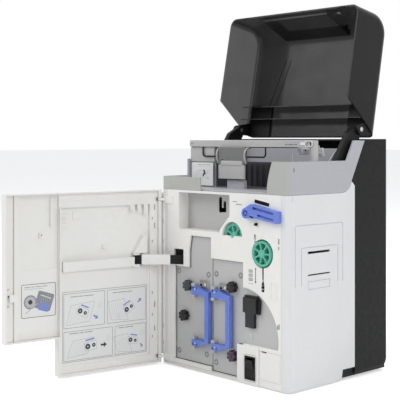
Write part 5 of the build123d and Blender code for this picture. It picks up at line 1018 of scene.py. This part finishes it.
class PRINTER_OT_hood_details(bpy.types.Operator):
    """Make the fine ridges and pads of the hood"""

    bl_idname = "printer.hood_details"
    bl_label = "Hood Details"

    def execute(self, context):
        lines = Piece("hood_ridges", TOP, HOOD_OPEN)
        for start, end in (((-78, -89), (-107, 4)), ((-65, -88), (-91, 4))):
            path = np.linspace((*start, 464.7), (*end, 464.7), 8)
            lines.put(carried(disc(0.45, 8), path), "gap_dark")
        lines.make("hood", "smoke")
        pads = Piece("hood_rest_pads", TOP, HOOD_OPEN)
        for x in (-120, 120):
            pads.put(pad(14, 2.2, 1, 1.6, 0.5), "rubber_black", (x, -150.5, 378), ((1, 0, 0), (0, -1, 0)))
        pads.make("hood", "rubber_black")
        return {"FINISHED"}


class PRINTER_OT_case_details(bpy.types.Operator):
    """Make the screws, sockets and small marks of the case"""

    bl_idname = "printer.case_details"
    bl_label = "Case Details"

    def execute(self, context):
        head = context.scene.printer_sizes.screw_head / MM / 2
        spots = [(x, 132, z) for x in (-142, 142) for z in (24, 215, 398)]
        spots += [(18.5, 132, 46), (101.5, 132, 46)]
        screws = Piece("rear_screws", BACK)
        for spot in spots:
            self.screw(screws, spot, head)
        screws.make("base", "steel")

        sockets = Piece("rear_sockets", BACK)
        for x, width, height in ((46, 13, 11), (74, 14, 12)):
            sockets.put(hoop(pill(width, height, 0.6), 0.8, 1.6), "port_steel", (x, 127.2, 46))
            sockets.put(pad(width - 3, height * 0.42, 0.4, 1), "gap_dark", (x, 127.2, 47))
        sockets.make("base", "steel")

        mark = Piece("trim_marks", RIGHT_SIDE)
        arc = np.linspace(-1.9, 1.9, 16)
        bow = np.column_stack([1.9 * np.cos(arc), 2.6 * np.sin(arc), np.zeros(16)])
        mark.put(carried(disc(0.45, 8), bow), "gap_dark", (158, -121.3, 362.4))
        mark.put(pad(24, 1, 0.4, 0.15), "ink_pale", (158, 3.4, 354.2))
        mark.make("base", "trim_grey")

        seams = Piece("corner_seams", RIGHT_SIDE)
        seams.put(plate(pill(0.5, 80, 0.2, 2), 0.06), "ink_pale", (158, -123.8, 350))
        seams.make("base", "trim_grey")
        return {"FINISHED"}

    def screw(self, piece, spot, head):
        """A cross-recess screw: a domed head from one outline's levels, with two dark slots across it, flat
        plates whose darkness is painted shade for the recess.
        """
        levels = [(0, 0), (0, 0.7), (head * 0.12, 1.3), (head * 0.4, 1.7), (head * 0.75, 1.9)]
        piece.put(stack(disc(head), levels), "screw_steel", spot)
        right, up = piece.ground
        face = np.asarray(spot) + np.cross(right, up) * 1.72
        # Painted shade: flat dark plates stand in for the cross recess.
        for angle in (0, 90):
            piece.put(plate(turned(pill(head * 1.1, 0.7, 0.25, 2), angle), 0.25), "gap_dark", face)


class PRINTER_PT_sidebar(bpy.types.Panel):
    """The printer's pieces, one button each"""

    bl_label = "Card Printer"
    bl_idname = "PRINTER_PT_sidebar"
    bl_space_type = "VIEW_3D"
    bl_region_type = "UI"
    bl_category = "Card Printer"

    def draw(self, context):
        for group in (context.scene.printer_finishes, context.scene.printer_sizes):
            for name in group.__annotations__:
                self.layout.prop(group, name)
        for operator in STEPS:
            self.layout.operator(operator.bl_idname)


STEPS = (
    PRINTER_OT_studio,
    PRINTER_OT_finish_frame,
    PRINTER_OT_door_labels,
    PRINTER_OT_door_fittings,
    PRINTER_OT_fascia_marks,
    PRINTER_OT_cassette_details,
    PRINTER_OT_knob_details,
    PRINTER_OT_handle_details,
    PRINTER_OT_upper_unit,
    PRINTER_OT_hood_details,
    PRINTER_OT_case_details,
)
CLASSES = (PrinterFinishes, PrinterSizes, *STEPS, PRINTER_PT_sidebar)


def register():
    for cls in CLASSES:
        bpy.utils.register_class(cls)
    bpy.types.Scene.printer_finishes = PointerProperty(type=PrinterFinishes)
    bpy.types.Scene.printer_sizes = PointerProperty(type=PrinterSizes)


def unregister():
    del bpy.types.Scene.printer_sizes
    del bpy.types.Scene.printer_finishes
    for cls in reversed(CLASSES):
        bpy.utils.unregister_class(cls)


def main():
    register()
    for operator in STEPS:
        group, name = operator.bl_idname.split(".")
        getattr(getattr(bpy.ops, group), name)()


if __name__ == "__main__":
    main()
